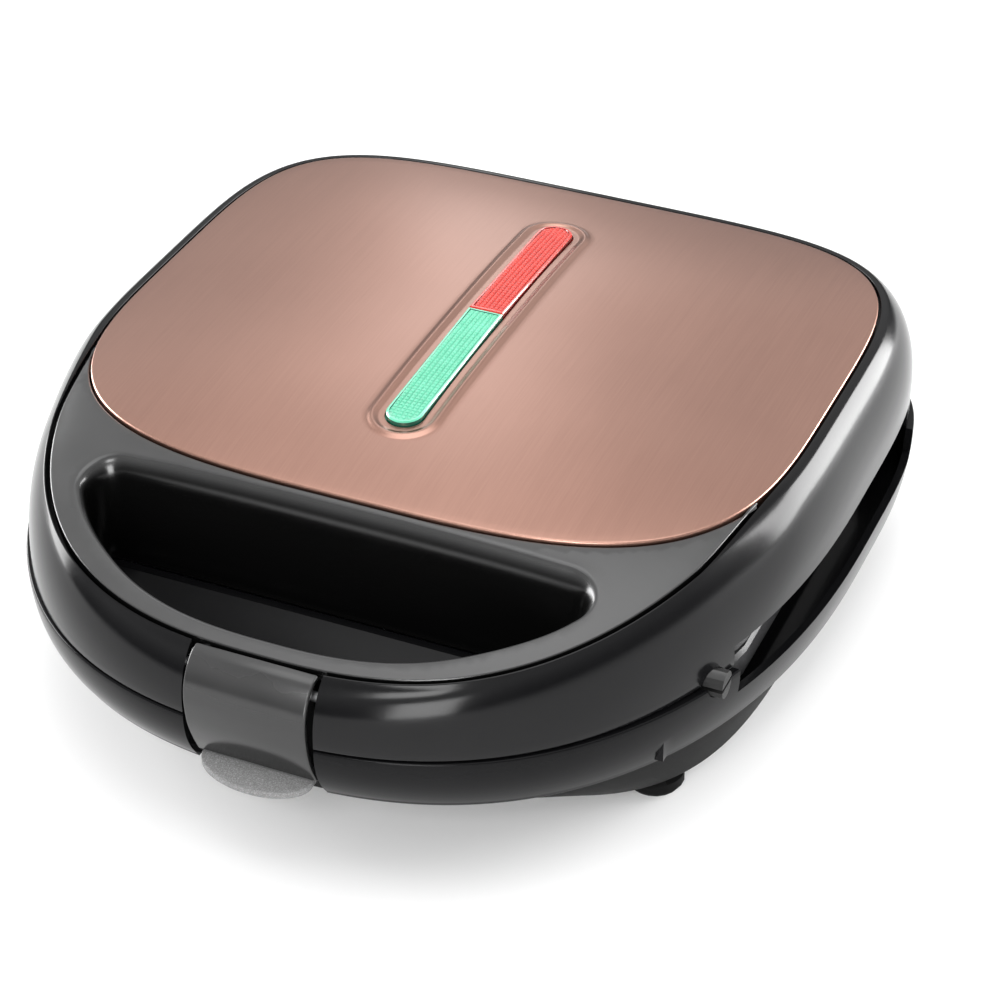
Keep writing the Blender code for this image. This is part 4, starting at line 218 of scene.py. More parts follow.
# Cooking plates, measured away from the parting plane for both halves
PLATE_SIDE_MARGIN = 0.0108
PLATE_FRONT_MARGIN = 0.0113
PLATE_BACK_MARGIN = 0.0200
PLATE_HALF_WIDTH = LID_HALF_WIDTH - PLATE_SIDE_MARGIN
PLATE_FRONT = PANEL_FRONT + PLATE_FRONT_MARGIN
PLATE_BACK = REAR_STEP_Y - PLATE_BACK_MARGIN
PLATE_FACE = 0.0011
PLATE_DEPTH = 0.0103

# Side slots that show the plates' edges
SLOT_FRONT_INSET = 0.0040
SLOT_BACK_OUTSET = 0.0020
SLOT_RISE = 0.0074
SLOT_DROP = 0.0086
SLOT_FRONT = PLATE_FRONT + SLOT_FRONT_INSET
SLOT_BACK = PLATE_BACK + SLOT_BACK_OUTSET
SLOT_TOP = PARTING + SLOT_RISE
SLOT_BOTTOM = PARTING - SLOT_DROP
SLOT_DEPTH = 0.0400

# Heating element, reflector and what holds them
BOWL_SIDE_MARGIN = 0.0136
BOWL_FRONT_MARGIN = 0.0030
BOWL_BACK_MARGIN = 0.0020
BOWL_HALF_WIDTH = PLATE_HALF_WIDTH - BOWL_SIDE_MARGIN
BOWL_FRONT = PLATE_FRONT + BOWL_FRONT_MARGIN
BOWL_BACK = PLATE_BACK - BOWL_BACK_MARGIN
BOWL_CORNER = 0.0160
LEAD_BACK_MARGIN = 0.0063
LEAD_BACK = REAR_STEP_Y - LEAD_BACK_MARGIN
FLANGE_LIFT = 0.0038
FLANGE_SIDE_MARGIN = 0.0051
FLANGE_HALF_WIDTH = PLATE_HALF_WIDTH - FLANGE_SIDE_MARGIN
LEAD_NOTCH = 0.0180
BLOCK_LENGTH = 0.0300
BLOCK_DEPTH = 0.0110
BLOCK_HEIGHT = 0.0053
SCREW_SIDE_MARGIN = 0.0048
SCREW_FRONT_MARGIN = 0.0190
SCREW_BACK_MARGIN = 0.0120
SCREW_X = FLANGE_HALF_WIDTH - SCREW_SIDE_MARGIN
SCREW_FRONT = PLATE_FRONT + SCREW_FRONT_MARGIN
SCREW_BACK = PLATE_BACK - SCREW_BACK_MARGIN
SCREW_RADIUS = 0.0015
SCREW_LENGTH = 0.0100
POST_RADIUS = 0.0038

# Plate release on the right-hand side
RELEASE_FORWARD = 0.0045
RELEASE_Y = PLATE_FRONT - RELEASE_FORWARD
RELEASE_RADIUS = 0.0039
RELEASE_TIP_MARGIN = 0.0129
RELEASE_KNOB_LENGTH = 0.0103
RELEASE_TIP = BASE_HALF_WIDTH - RELEASE_TIP_MARGIN
RELEASE_NECK = RELEASE_TIP - RELEASE_KNOB_LENGTH

# Base: deck inside the skin, tub, feet, bottom screws and the cord gland
DECK_DROP = 0.0162
DECK_TOP = PARTING - DECK_DROP
TUB_SHOULDER_SIDE_MARGIN = 0.0106
TUB_SHOULDER_FRONT_MARGIN = 0.0310
TUB_SIDE_MARGIN = 0.0144
TUB_FRONT_MARGIN = 0.0470
TUB_BACK_MARGIN = 0.0095
TUB_SHOULDER_HALF_WIDTH = BASE_HALF_WIDTH - TUB_SHOULDER_SIDE_MARGIN
TUB_SHOULDER_FRONT = BASE_FRONT + TUB_SHOULDER_FRONT_MARGIN
TUB_HALF_WIDTH = BASE_HALF_WIDTH - TUB_SIDE_MARGIN
TUB_FRONT = BASE_FRONT + TUB_FRONT_MARGIN
TUB_BACK = BASE_BACK - TUB_BACK_MARGIN
TUB_FLOOR_INSET = 0.0060
FOOT_SIDE_MARGIN = 0.0210
FOOT_END_MARGIN = 0.0320
FOOT_X = TUB_HALF_WIDTH - FOOT_SIDE_MARGIN
FOOT_FRONT = TUB_FRONT + FOOT_END_MARGIN
FOOT_BACK = TUB_BACK - FOOT_END_MARGIN
FOOT_STEM = 0.0030
BOTTOM_SCREW_FRONT_SIDE = 0.0530
BOTTOM_SCREW_BACK_SIDE = 0.0330
BOTTOM_SCREW_FRONT_MARGIN = 0.0190
BOTTOM_SCREW_BACK_MARGIN = 0.0260
BOTTOM_SCREW_FRONT_X = TUB_HALF_WIDTH - BOTTOM_SCREW_FRONT_SIDE
BOTTOM_SCREW_FRONT = TUB_FRONT + BOTTOM_SCREW_FRONT_MARGIN
BOTTOM_SCREW_BACK_X = TUB_HALF_WIDTH - BOTTOM_SCREW_BACK_SIDE
BOTTOM_SCREW_BACK = TUB_BACK - BOTTOM_SCREW_BACK_MARGIN
BOTTOM_SCREW_LENGTH = 0.0150
GLAND_X = -0.0300
GLAND_DROP = 0.0060
GLAND_Z = SKIN_LOW - GLAND_DROP
GLAND_RADIUS = 0.0052

# Small rounds and steps that only the looks have
LIP_ROUND = 0.0004
EDGE_ROUND = 0.0006
DECK_EDGE_ROUND = 0.0007
DECK_GRID = 0.0022
ROW_SHARE = 0.866
CLEAR_SHARE = 0.6
SCOOP_REAR_ROUND = (0.0038, 0.0085)
SCOOP_FRONT_ROUND = (0.0024, 0.0030)
KNURL_PITCH = 0.00145
KNURL_HEIGHT = 0.00040
LENS_BORDER = 0.0009
LENS_CHAMFER = 0.0004
LENS_WELL = 0.0003
FLANGE_SHARE = 0.3
SMALL_ROUND = 0.00035
COVER_ROUND = 0.0006
FINE_SEGMENTS = 3
SCOOP_FRONT_BLEND = 0.012
SCOOP_REAR_BLEND = 0.014
LIP_SHARE = 0.5
RIM_SHARE = 0.7
EMBOSS_FLAT_SHARES = (0.7, 0.8)
UNDERSIDE_SHARE = 1.2
LEAST_GROOVE_REACH = 0.05

# Turns of the rounded edges in degrees: 0 lies level and 90 stands upright, or the reverse
EDGE_TURNS = (90, 60, 30, 0)
FOOT_TURNS = (0, 30, 60, 90)
LIP_TURNS = (75, 45, 20, 0)
PANEL_TURNS = (0, 20, 45, 70, 90)
DECK_TURNS = (25, 50, 75, 90)
FILLET_TURNS = (8, 16, 25, 34, 43, 52, 61, 70, 80, 90)
SCOOP_FOOT_TURNS = (30, 60, 90)

# Where the rings of each surface lie, as shares of its way
BAND_SHARES = (0.9, 0.78, 0.62, 0.42, 0.22)
RECESS_SHARES = (0.12, 0.3, 0.5, 0.75, 1.0)
SCOOP_WALL_SHARES = (0.3, 0.65, 1.0)
PANEL_UNDER_SHARES = (0.75, 0.5, 0.25, 0.0)
SKIN_INNER_SHARES = (1.0, 0.8, 0.5, 0.0)

# How finely each piece is divided, and the powers that space or bend its rings
INNER_RING_STRIDE = 3
DECK_COLUMNS = 150
EMBOSS_STEPS = 12
PANEL_STEPS = 34
PANEL_SPACING_POWER = 1.15
SKIN_STEPS = 12
TUCK_POWER = 2.2
APRON_COLUMNS = 72
APRON_ROWS = 20
DISH_LENGTH_POWER = 0.8
DISH_WIDTH_POWER = 0.5
TAB_STEPS = 40
KNURL_END_SHARE = 1.12
LEVEL_NORMAL = 0.5

# Mesh tolerances: merging distance, and angles in degrees
MERGE_DISTANCE = GAP / 100
FLAT_ANGLE = 1.0
DISSOLVE_ANGLE = 0.5
SMOOTH_ANGLE = 35
BEVEL_ANGLE = 40
SEARCH_SPAN = (-89, -5)
SEARCH_HALVINGS = 40
SEARCH_STEP = 1e-4


# Finishes


class Signal:
    """A shader socket that Python's own operators work on, by adding Math nodes."""

    def __init__(self, graph, socket):
        self.graph = graph
        self.socket = socket

    def calculate(self, operation, first, second, clamp=False):
        return self.graph.add("ShaderNodeMath", {"operation": operation, "use_clamp": clamp},
                              {0: first, 1: second})

    def __add__(self, other):
        return self.calculate("ADD", self, other)

    def __sub__(self, other):
        return self.calculate("SUBTRACT", self, other)

    def __rsub__(self, other):
        return self.calculate("SUBTRACT", other, self)

    def __mul__(self, other):
        return self.calculate("MULTIPLY", self, other)

    def __pow__(self, other):
        return self.calculate("POWER", self, other)

    def above(self, limit):
        return self.calculate("GREATER_THAN", self, limit)

    def between(self, low, high):
        """0 at low and 1 at high, held there beyond them."""
        return self.graph.add("ShaderNodeMapRange", {"clamp": True},
                              {"Value": self, "From Min": low, "From Max": high})

    __radd__ = __add__
    __rmul__ = __mul__


class Graph:
    """A node tree in which one method makes every node."""

    def __init__(self, tree):
        self.tree = tree

    def add(self, kind, settings=None, values=None, output=0):
        node = self.tree.nodes.new(kind)
        for key, value in (settings or {}).items():
            setattr(node, key, value)
        for key, value in (values or {}).items():
            self.feed(node.inputs[key], value)
        return Signal(self, node.outputs[output])

    def feed(self, socket, value):
        if isinstance(value, Signal):
            self.tree.links.new(value.socket, socket)
        else:
            socket.default_value = value

    def noise(self, scale, detail=2.0, stretch=(1.0, 1.0, 1.0), roughness=0.5):
        place = self.add("ShaderNodeTexCoord", output="Object")
        moved = self.add("ShaderNodeMapping", {}, {"Vector": place, "Scale": stretch})
        return self.add("ShaderNodeTexNoise", {}, {"Vector": moved, "Scale": scale, "Detail": detail,
                                                   "Roughness": roughness})

    def colour(self, factor, low, high):
        return self.add("ShaderNodeMix", {"data_type": "RGBA"},
                        {0: factor, 6: (*low, 1.0), 7: (*high, 1.0)}, output=2)

    def bump(self, height, distance, strength=1.0):
        return self.add("ShaderNodeBump", {},
                        {"Height": height, "Distance": distance, "Strength": strength})


def finish(name, describe, constants):
    """A material whose Principled BSDF takes constants, and links from describe."""
    material = bpy.data.materials.new(name)
    material.use_nodes = True
    graph = Graph(material.node_tree)
    shader = material.node_tree.nodes["Principled BSDF"]
    for key, value in constants.items():
        shader.inputs[key].default_value = value
    for key, value in describe(graph).items():
        graph.feed(shader.inputs[key], value)
    return material


def moulded_gloss(graph):
    """Polished black plastic, with a faint orange peel and a trace of wiped dust."""
    peel = graph.noise(420, 2)
    wipe = graph.noise(55, 4, (1.0, 0.35, 1.0), 0.65)
    return {"Base Color": graph.colour(wipe, (0.0035, 0.0035, 0.0040), (0.0065, 0.0065, 0.0070)),
            "Roughness": wipe.between(0.35, 0.75) * 0.035 + 0.15,
            "Normal": graph.bump(peel, 0.00003, 0.25)}


def satin_with_painted_top_light(low, high):
    """Satin black plastic with a fine grain, which is polished where it stands steep, and whose colour is
    painted lighter where it faces up: painted top light.
    """

    def describe(graph):
        grain = graph.noise(5200, 2)
        cloud = graph.noise(60, 3)
        facing = graph.add("ShaderNodeTexCoord", output="Normal")
        level = graph.add("ShaderNodeSeparateXYZ", {}, {0: facing}, output="Z").between(low, high)
        # Faces that point up get a lighter base colour than steep ones: painted top light.
        return {"Base Color": graph.colour(level * (cloud * 0.3 + 0.7), (0.003, 0.003, 0.003),
                                           (0.050, 0.050, 0.0505)),
                "Roughness": cloud * 0.06 + level * 0.12 + 0.16,
                "Normal": graph.bump(grain, 0.00002, 0.22)}

    return describe


def grained(scale, detail, low, high, spread, rough, depth, strength):
    """A plain surface whose grain shows in its colour, its gloss and its relief."""

    def describe(graph):
        grain = graph.noise(scale, detail)
        return {"Base Color": graph.colour(grain, low, high),
                "Roughness": grain * spread + rough,
                "Normal": graph.bump(grain, depth, strength)}

    return describe


def speckled_grey(graph):
    """Grey moulded plastic of the thumb tab, with pale specks."""
    specks = graph.noise(2900, 3, roughness=0.7).between(0.45, 0.68)
    return {"Base Color": graph.colour(specks, (0.16, 0.16, 0.16), (0.34, 0.34, 0.34)),
            "Roughness": specks * 0.15 + 0.5,
            "Normal": graph.bump(specks, 0.00004, 0.4)}


def brushed_copper(graph):
    """Coated sheet brushed from front to back."""
    lines = graph.noise(1.0, 3, (1500, 26, 200), 0.6)
    hair = graph.noise(1.0, 2, (5200, 60, 900), 0.6)
    cloud = graph.noise(16, 3)
    streak = lines * 0.6 + hair * 0.4
    tone = streak.between(0.3, 0.7) * 0.55 + cloud.between(0.3, 0.7) * 0.45
    return {"Base Color": graph.colour(tone, (0.395, 0.205, 0.152), (0.480, 0.262, 0.198)),
            "Roughness": streak * 0.12 + 0.29,
            "Normal": graph.bump(streak, 0.00002, 0.3)}


def lens_glow(low, high):
    """Coloured clear plastic with a tone that varies at random, which also glows in that tone: a painted
    glow of the indicator lamp under it.
    """

    def describe(graph):
        # A random noise, which does not follow the knurl's facets.
        depth = graph.noise(260, 2)
        tone = graph.colour(depth, low, high)
        # The emission is painted light: the lens glows though it is no lamp.
        return {"Base Color": tone, "Emission Color": tone, "Roughness": depth * 0.06 + 0.16}

    return describe


def coated_cast(graph):
    """Dark non-stick coat with fine pale specks, on a slightly uneven casting."""
    specks = graph.noise(2400, 2, roughness=0.8).between(0.60, 0.72)
    uneven = graph.noise(240, 3)
    return {"Base Color": graph.colour(specks, (0.020, 0.020, 0.021), (0.16, 0.16, 0.165)),
            "Roughness": uneven * 0.16 + 0.36,
            "Normal": graph.bump(uneven, 0.00008, 0.4)}


def rolled_metal(low, high, rough):
    """Plain sheet or wire, with rolling lines and slight tarnish."""

    def describe(graph):
        lines = graph.noise(1.0, 3, (2400, 220, 600), 0.6)
        tarnish = graph.noise(70, 4)
        return {"Base Color": graph.colour(tarnish, low, high),
                "Roughness": lines * 0.14 + tarnish * 0.08 + rough,
                "Normal": graph.bump(lines, 0.00002, 0.3)}

    return describe


def lamp_body(graph):
    wisp = graph.noise(500, 2)
    return {"Base Color": graph.colour(wisp, (0.80, 0.47, 0.28), (0.92, 0.66, 0.44)),
            "Roughness": wisp * 0.08 + 0.08}


def grey(tone):
    return (tone, tone, tone)


MOULDED_DARK = grained(2600, 3, grey(0.004), grey(0.014), 0.2, 0.48, 0.00006, 0.5)
MATTE_RUBBER = grained(1900, 3, grey(0.004), grey(0.009), 0.15, 0.72, 0.00005, 0.5)
FIRED_CLAY = grained(1400, 4, (0.66, 0.62, 0.55), (0.80, 0.77, 0.71), 0.2, 0.5, 0.00005, 0.4)
RED_GLOW = lens_glow((0.46, 0.016, 0.009), (0.66, 0.040, 0.022))
# The _SHADE colours are darker copies of the lens colours: painted shade on the lens's sides.
RED_SHADE = lens_glow((0.10, 0.004, 0.004), (0.17, 0.010, 0.008))
GREEN_GLOW = lens_glow((0.070, 0.44, 0.26), (0.16, 0.62, 0.42))
GREEN_SHADE = lens_glow((0.006, 0.070, 0.045), (0.012, 0.12, 0.080))
STEEL = rolled_metal((0.50, 0.50, 0.51), (0.64, 0.64, 0.65), 0.22)
ALUMINIUM = rolled_metal((0.62, 0.62, 0.63), (0.76, 0.76, 0.77), 0.26)

# What varies in each finish, then the constants of its shader
LOOKS = {
    "gloss_black": (moulded_gloss, {"Specular IOR Level": 0.24}),
    "base_black": (moulded_gloss, {"Specular IOR Level": 0.12}),
    # The two satin finishes paint their level faces lighter: painted top light.
    "satin_black": (satin_with_painted_top_light(0.35, 0.97), {"Specular IOR Level": 0.7}),
    "latch_satin_painted_top_light": (satin_with_painted_top_light(-0.5, 1.2), {"Specular IOR Level": 0.6}),
    "dark_plastic": (MOULDED_DARK, {"Specular IOR Level": 0.4}),
    "cover_black": (MOULDED_DARK, {"Specular IOR Level": 0.12}),
    "tab_grey": (speckled_grey, {"Specular IOR Level": 0.4}),
    "copper": (brushed_copper, {"Metallic": 1.0, "Coat Weight": 0.9, "Coat Roughness": 0.27}),
    # Both lenses glow by their own emission: painted light.
    "red_lens": (RED_GLOW, {"Coat Weight": 0.6, "Emission Strength": 0.12}),
    "green_lens": (GREEN_GLOW, {"Coat Weight": 0.6, "Emission Strength": 0.16}),
    # The wall finishes paint the lens's steep sides darker: painted shade.
    "red_wall": (RED_SHADE, {"Coat Weight": 0.8}),
    "green_wall": (GREEN_SHADE, {"Coat Weight": 0.8}),
    "lamp_glass": (lamp_body, {}),
    "non_stick": (coated_cast, {"Specular IOR Level": 0.5}),
    "bare_metal": (STEEL, {"Metallic": 1.0}),
    "bare_aluminium": (ALUMINIUM, {"Metallic": 1.0}),
    "ceramic": (FIRED_CLAY, {}),
    "rubber": (MATTE_RUBBER, {"Specular IOR Level": 0.1}),
}
FINISHES = {name: finish(name, describe, constants) for name, (describe, constants) in LOOKS.items()}


# Outlines and heights, as in the solids


def mix(start, end, share):
    return start + (end - start) * share


def smooth_share(value, low, high):
    share = min(max((value - low) / (high - low), 0.0), 1.0)
    return share * share * (3 - 2 * share)


@dataclass(frozen=True)
class Outline:
    """Two half ovals that share a width, the front one and the back one."""

    half_width: float
    front: float
    middle: float
    back: float
    front_squareness: float
    back_squareness: float

    def half(self, towards_back):
        if towards_back:
            return self.back - self.middle, self.back_squareness
        return self.middle - self.front, self.front_squareness

    def point(self, angle):
        across, along = math.cos(angle), math.sin(angle)
        depth, squareness = self.half(along >= 0)
        x = math.copysign(self.half_width * abs(across) ** (2 / squareness), across)
        y = self.middle + math.copysign(depth * abs(along) ** (2 / squareness), along)
        return x, y

    def reach(self, x, y):
        """0 at the middle and 1 on the outline."""
        depth, squareness = self.half(y >= self.middle)
        across = abs(x / self.half_width) ** squareness
        along = abs((y - self.middle) / depth) ** squareness
        return (across + along) ** (1 / squareness)

    def ring(self):
        return [self.point(math.tau * i / RING_STEPS) for i in range(RING_STEPS)]


PANEL = Outline(PANEL_HALF_WIDTH, PANEL_FRONT, PANEL_MIDDLE, PANEL_BACK,
                PANEL_FRONT_SQUARENESS, PANEL_BACK_SQUARENESS)
GROOVE = Outline(PANEL_HALF_WIDTH, GROOVE_FRONT, GROOVE_MIDDLE, PANEL_BACK,
                 GROOVE_SQUARENESS, PANEL_BACK_SQUARENESS)
LID = Outline(LID_HALF_WIDTH, LID_FRONT, LID_MIDDLE, LID_BACK,
              LID_FRONT_SQUARENESS, LID_BACK_SQUARENESS)
BASE = Outline(BASE_HALF_WIDTH, BASE_FRONT, BASE_MIDDLE, BASE_BACK,
               LID_FRONT_SQUARENESS, BASE_BACK_SQUARENESS)
SKIN_FOOT = Outline(BASE_HALF_WIDTH - SKIN_SIDE_TUCK, BASE_FRONT + SKIN_FRONT_TUCK, BASE_MIDDLE,
                    BASE_BACK - SKIN_SIDE_TUCK, LID_FRONT_SQUARENESS, BASE_BACK_SQUARENESS)
SCOOP_ARC = Outline(SCOOP_HALF_WIDTH, SCOOP_FRONT, GROOVE_MIDDLE, PANEL_BACK,
                    GROOVE_SQUARENESS, PANEL_BACK_SQUARENESS)


def outward(ring):
    """Unit vectors that point out of the closed ring, one at each point."""
    found = []
    for i in range(len(ring)):
        before, after = ring[i - 1], ring[(i + 1) % len(ring)]
        along = Vector((after[0] - before[0], after[1] - before[1])).normalized()
        found.append(Vector((along.y, -along.x)))
    return found


def grown(ring, distance):
    return [(x + out.x * distance, y + out.y * distance) for (x, y), out in zip(ring, outward(ring))]


def mixed(first, second, share):
    """The ring part of the way from one ring to another."""
    return [(mix(a[0], b[0], share), mix(a[1], b[1], share)) for a, b in zip(first, second)]


def quarter(radius, turn):
    """How far a quarter round of an edge lies in from each of its two faces."""
    angle = math.radians(turn)
    return radius * (1 - math.cos(angle)), radius * (1 - math.sin(angle))


def crown_height(x, y):
    """Top of the panel: highest in its middle, one height along its edge."""
    return CROWN_TOP - CROWN_DROP * min(PANEL.reach(x, y), 1.0) ** CROWN_POWER


def groove_height(y):
    depth_share = max(GROOVE_MIDDLE - y, 0.0) / (GROOVE_MIDDLE - GROOVE_FRONT)
    return GROOVE_SIDE_HEIGHT - GROOVE_FRONT_DROP * depth_share ** GROOVE_POWER


def deck_height(x, y):
    """Top of the handle deck, falling from the panel's edge to the groove."""
    groove_reach = max(GROOVE.reach(x, y), LEAST_GROOVE_REACH)
    from_panel = max(PANEL.reach(x, y) - 1, 0.0) * (PANEL_MIDDLE - PANEL_FRONT)
    to_groove = max(1 - groove_reach, 0.0) * (GROOVE_MIDDLE - GROOVE_FRONT)
    share = from_panel / max(from_panel + to_groove, GAP * GAP)
    groove_y = GROOVE_MIDDLE + (y - GROOVE_MIDDLE) / groove_reach
    return mix(PANEL_EDGE_HEIGHT - PANEL_REVEAL, groove_height(groove_y), share)


def floor_height(x, y):
    """Floor of the lid shell's recess, under the panel and the handle deck."""
    if PANEL.reach(x, y) < 1:
        return crown_height(x, y) - RECESS_DEPTH
    return deck_height(x, y) - RECESS_DEPTH


def front_share(angle):
    """1 along the handle at the front, 0 along the sides and the back."""
    below = math.degrees(math.asin(max(-math.sin(angle), 0.0)))
    return smooth_share(below, *BLEND_ANGLES)


def opening_point(angle, offset=PANEL_REVEAL):
    """A point by the edge of the lid shell's opening, at an offset from the panel or groove."""
    share = front_share(angle)
    panel_x, panel_y = PANEL.point(angle)
    groove_x, groove_y = GROOVE.point(angle)
    return (mix(panel_x, groove_x, share) + math.cos(angle) * offset,
            mix(panel_y, groove_y, share) + math.sin(angle) * offset)


def opening_height(angle):
    y = opening_point(angle)[1]
    return mix(PANEL_EDGE_HEIGHT - PANEL_REVEAL / 2, groove_height(y), front_share(angle))


# Mesh tools


def solid(name, bm, material, merge=True):
    """Turns a bmesh into a named object with its faces out and round parts smooth."""
    if merge:
        bmesh.ops.remove_doubles(bm, verts=bm.verts, dist=MERGE_DISTANCE)
        bmesh.ops.connect_verts_nonplanar(bm, angle_limit=math.radians(FLAT_ANGLE), faces=bm.faces)
    bmesh.ops.recalc_face_normals(bm, faces=bm.faces)
    mesh = bpy.data.meshes.new(name)
    bm.to_mesh(mesh)
    bm.free()
    mesh.materials.append(FINISHES[material])
    smoothed(mesh)
    thing = bpy.data.objects.new(name, mesh)
    bpy.context.scene.collection.objects.link(thing)
    return thing


def smoothed(mesh):
    mesh.shade_smooth()
    mesh.set_sharp_from_angle(angle=math.radians(SMOOTH_ANGLE))


def loft(name, rings, material, joined=False):
    """Skins rings of equal length: joined end to end like a tube ring, or capped."""
    bm = bmesh.new()
    layers = [[bm.verts.new(point) for point in ring] for ring in rings]
    following = layers[1:] + layers[:1] if joined else layers[1:]
    for low, high in zip(layers, following):
        for i in range(len(low)):
            j = (i + 1) % len(low)
            bm.faces.new((low[i], low[j], high[j], high[i]))
    if not joined:
        bm.faces.new(list(reversed(layers[0])))
        bm.faces.new(layers[-1])
    return solid(name, bm, material)


def at_height(ring, height):
    return [(x, y, height) for x, y in ring]


def prism(name, ring, low, high, material="gloss_black"):
    return loft(name, [at_height(ring, low), at_height(ring, high)], material)


def box(name, low, high, material="gloss_black"):
    ring = [(low[0], low[1]), (high[0], low[1]), (high[0], high[1]), (low[0], high[1])]
    return prism(name, ring, low[2], high[2], material)


def side_profile(name, profile, low_x, high_x, material):
    """Extrudes a profile of y, z points from one x to another."""
    rings = [[(x, y, z) for y, z in profile] for x in (low_x, high_x)]
    return loft(name, rings, material)


def rod(name, radius, low, high, material, centre, axis="Z", sides=32):
    turns = {"Z": Matrix(), "X": Matrix.Rotation(math.pi / 2, 4, "Y"),
             "Y": Matrix.Rotation(-math.pi / 2, 4, "X")}
    place = Matrix.Translation(centre) @ turns[axis]
    rings = []
    for height in (low, high):
        turned = [math.tau * i / sides for i in range(sides)]
        rings.append([place @ Vector((radius * math.cos(angle), radius * math.sin(angle), height))
                      for angle in turned])
    return loft(name, rings, material)


def rods(name, radius, low, high, material, places):
    """Upright rods at the places."""
    return [rod(f"{name}_{i}", radius, low, high, material, (x, y, 0.0)) for i, (x, y) in enumerate(places)]


def combine(target, other, operation):
    modifier = target.modifiers.new(other.name, "BOOLEAN")
    modifier.operation = operation
    modifier.solver = "EXACT"
    modifier.object = other
    other.hide_render = True
    other.display_type = "WIRE"
    return target


def cut(target, *cutters):
    for cutter in cutters:
        combine(target, cutter, "DIFFERENCE")
    return target


def add(target, *others):
    for other in others:
        combine(target, other, "UNION")
    return target


def baked(thing):
    """Replaces a thing's modifiers with their result, and removes the guides they used."""
    bpy.context.view_layer.update()
    guides = [modifier.object for modifier in thing.modifiers if modifier.type == "BOOLEAN"]
    graph = bpy.context.evaluated_depsgraph_get()
    mesh = bpy.data.meshes.new_from_object(thing.evaluated_get(graph), depsgraph=graph)
    thing.modifiers.clear()
    thing.data = mesh
    smoothed(mesh)
    for guide in guides:
        drop_guide(guide)
    return thing


def drop_guide(guide):
    nested = [modifier.object for modifier in guide.modifiers if modifier.type == "BOOLEAN"]
    bpy.data.objects.remove(guide, do_unlink=True)
    for other in nested:
        drop_guide(other)


def softened(thing, width=SMALL_ROUND, segments=2):
    """Rounds a thing's sharp edges."""
    bevel = thing.modifiers.new("round", "BEVEL")
    bevel.width = width
    bevel.segments = segments
    bevel.limit_method = "ANGLE"
    bevel.angle_limit = math.radians(BEVEL_ANGLE)
    return baked(thing)


def placed(thing, body, *nodes, slot=None):
    """Hands a finished piece to the frame: it rides on a body and stands for nodes."""
    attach(thing, body)
    if nodes:
        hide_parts(*nodes)
    return thing


def refined(node, body, material, width=SMALL_ROUND, segments=2, slot=None):
    """A node's own shape as a clean mesh with rounded edges and a better finish."""
    bm = bmesh.new()
    bm.from_mesh(frame["nodes"][node].data)
    bmesh.ops.remove_doubles(bm, verts=bm.verts, dist=MERGE_DISTANCE)
    bmesh.ops.dissolve_limit(bm, angle_limit=math.radians(DISSOLVE_ANGLE), verts=bm.verts,
                              edges=bm.edges)
    thing = solid(f"{node}_fine", bm, material, merge=False)
    if width:
        softened(thing, width, segments)
    return placed(thing, body, node, slot=slot)


# Shapes that several pieces share


def scoop_ring(arc_steps=46, corner_steps=14, rear_steps=30):
    """The finger scoop at the deck: an arc at the front, a straight rear, round corners."""

    def inset_point(angle):
        x, y = SCOOP_ARC.point(angle)
        ahead_x, ahead_y = SCOOP_ARC.point(angle + SEARCH_STEP)
        along = Vector((ahead_x - x, ahead_y - y)).normalized()
        return x - along.y * SCOOP_CORNER, y + along.x * SCOOP_CORNER

    low, high = (math.radians(angle) for angle in SEARCH_SPAN)
    for _ in range(SEARCH_HALVINGS):
        angle = (low + high) / 2
        if inset_point(angle)[1] < SCOOP_REAR - SCOOP_CORNER:
            low = angle
        else:
            high = angle
    centre_x, centre_y = inset_point(angle)
    right = [SCOOP_ARC.point(mix(-math.pi / 2, angle, i / arc_steps)) for i in range(1, arc_steps + 1)]
    touch = math.atan2(right[-1][1] - centre_y, right[-1][0] - centre_x)
    for i in range(1, corner_steps + 1):
        turn = mix(touch, math.pi / 2, i / corner_steps)
        right.append((centre_x + SCOOP_CORNER * math.cos(turn), centre_y + SCOOP_CORNER * math.sin(turn)))
    for i in range(1, rear_steps):
        right.append((centre_x * (1 - i / rear_steps), SCOOP_REAR))
    left = [(-x, y) for x, y in reversed(right)]
    return [(0.0, SCOOP_FRONT)] + right + [(0.0, SCOOP_REAR)] + left


def leaned(ring, height):
    """The scoop's ring at a height: its rear wall comes forward as it goes down."""
    per_height = SCOOP_LEAN / (PANEL_EDGE_HEIGHT - PARTING)
    share = 1 - (PANEL_EDGE_HEIGHT - height) * per_height / (SCOOP_REAR - SCOOP_FRONT)
    return [(x, SCOOP_FRONT + (y - SCOOP_FRONT) * share) for x, y in ring]


def scoop_solid(name, growth, low, high):
    ring = grown(scoop_ring(), growth)
    rings = [at_height(leaned(ring, height), height) for height in (low, high)]
    return loft(name, rings, "satin_black")


def latch_notch(name, deeper=0.0):
    half = LATCH_HALF_WIDTH + LATCH_SIDE_GAP
    return box(name, (-half, LID_FRONT - OVERRUN, SKIN_LOW - OVERRUN),
               (half, LATCH_NOTCH_Y + deeper, CROWN_TOP))


def latch_pin_hole(name, radius=LATCH_PIN_RADIUS + GAP):
    half = LATCH_HALF_WIDTH + LATCH_SIDE_GAP + CHEEK - GAP
    return rod(name, radius, -half, half, "bare_metal", (0.0, LATCH_PIN_Y, LATCH_PIN_Z), "X")


def cut_side_slots(shell, name, low, high):
    for side in (-1, 1):
        inner, outer = sorted((side * (BASE_HALF_WIDTH - SLOT_DEPTH), side * (BASE_HALF_WIDTH + OVERRUN)))
        cut(shell, box(f"cut_{name}_slot_{side}", (inner, SLOT_FRONT, low), (outer, SLOT_BACK, high)))


def release_hole(name):
    return rod(name, RELEASE_RADIUS + 2 * GAP, RELEASE_NECK - OVERRUN, RELEASE_TIP + OVERRUN,
               "dark_plastic", (0.0, RELEASE_Y, PARTING), "X")


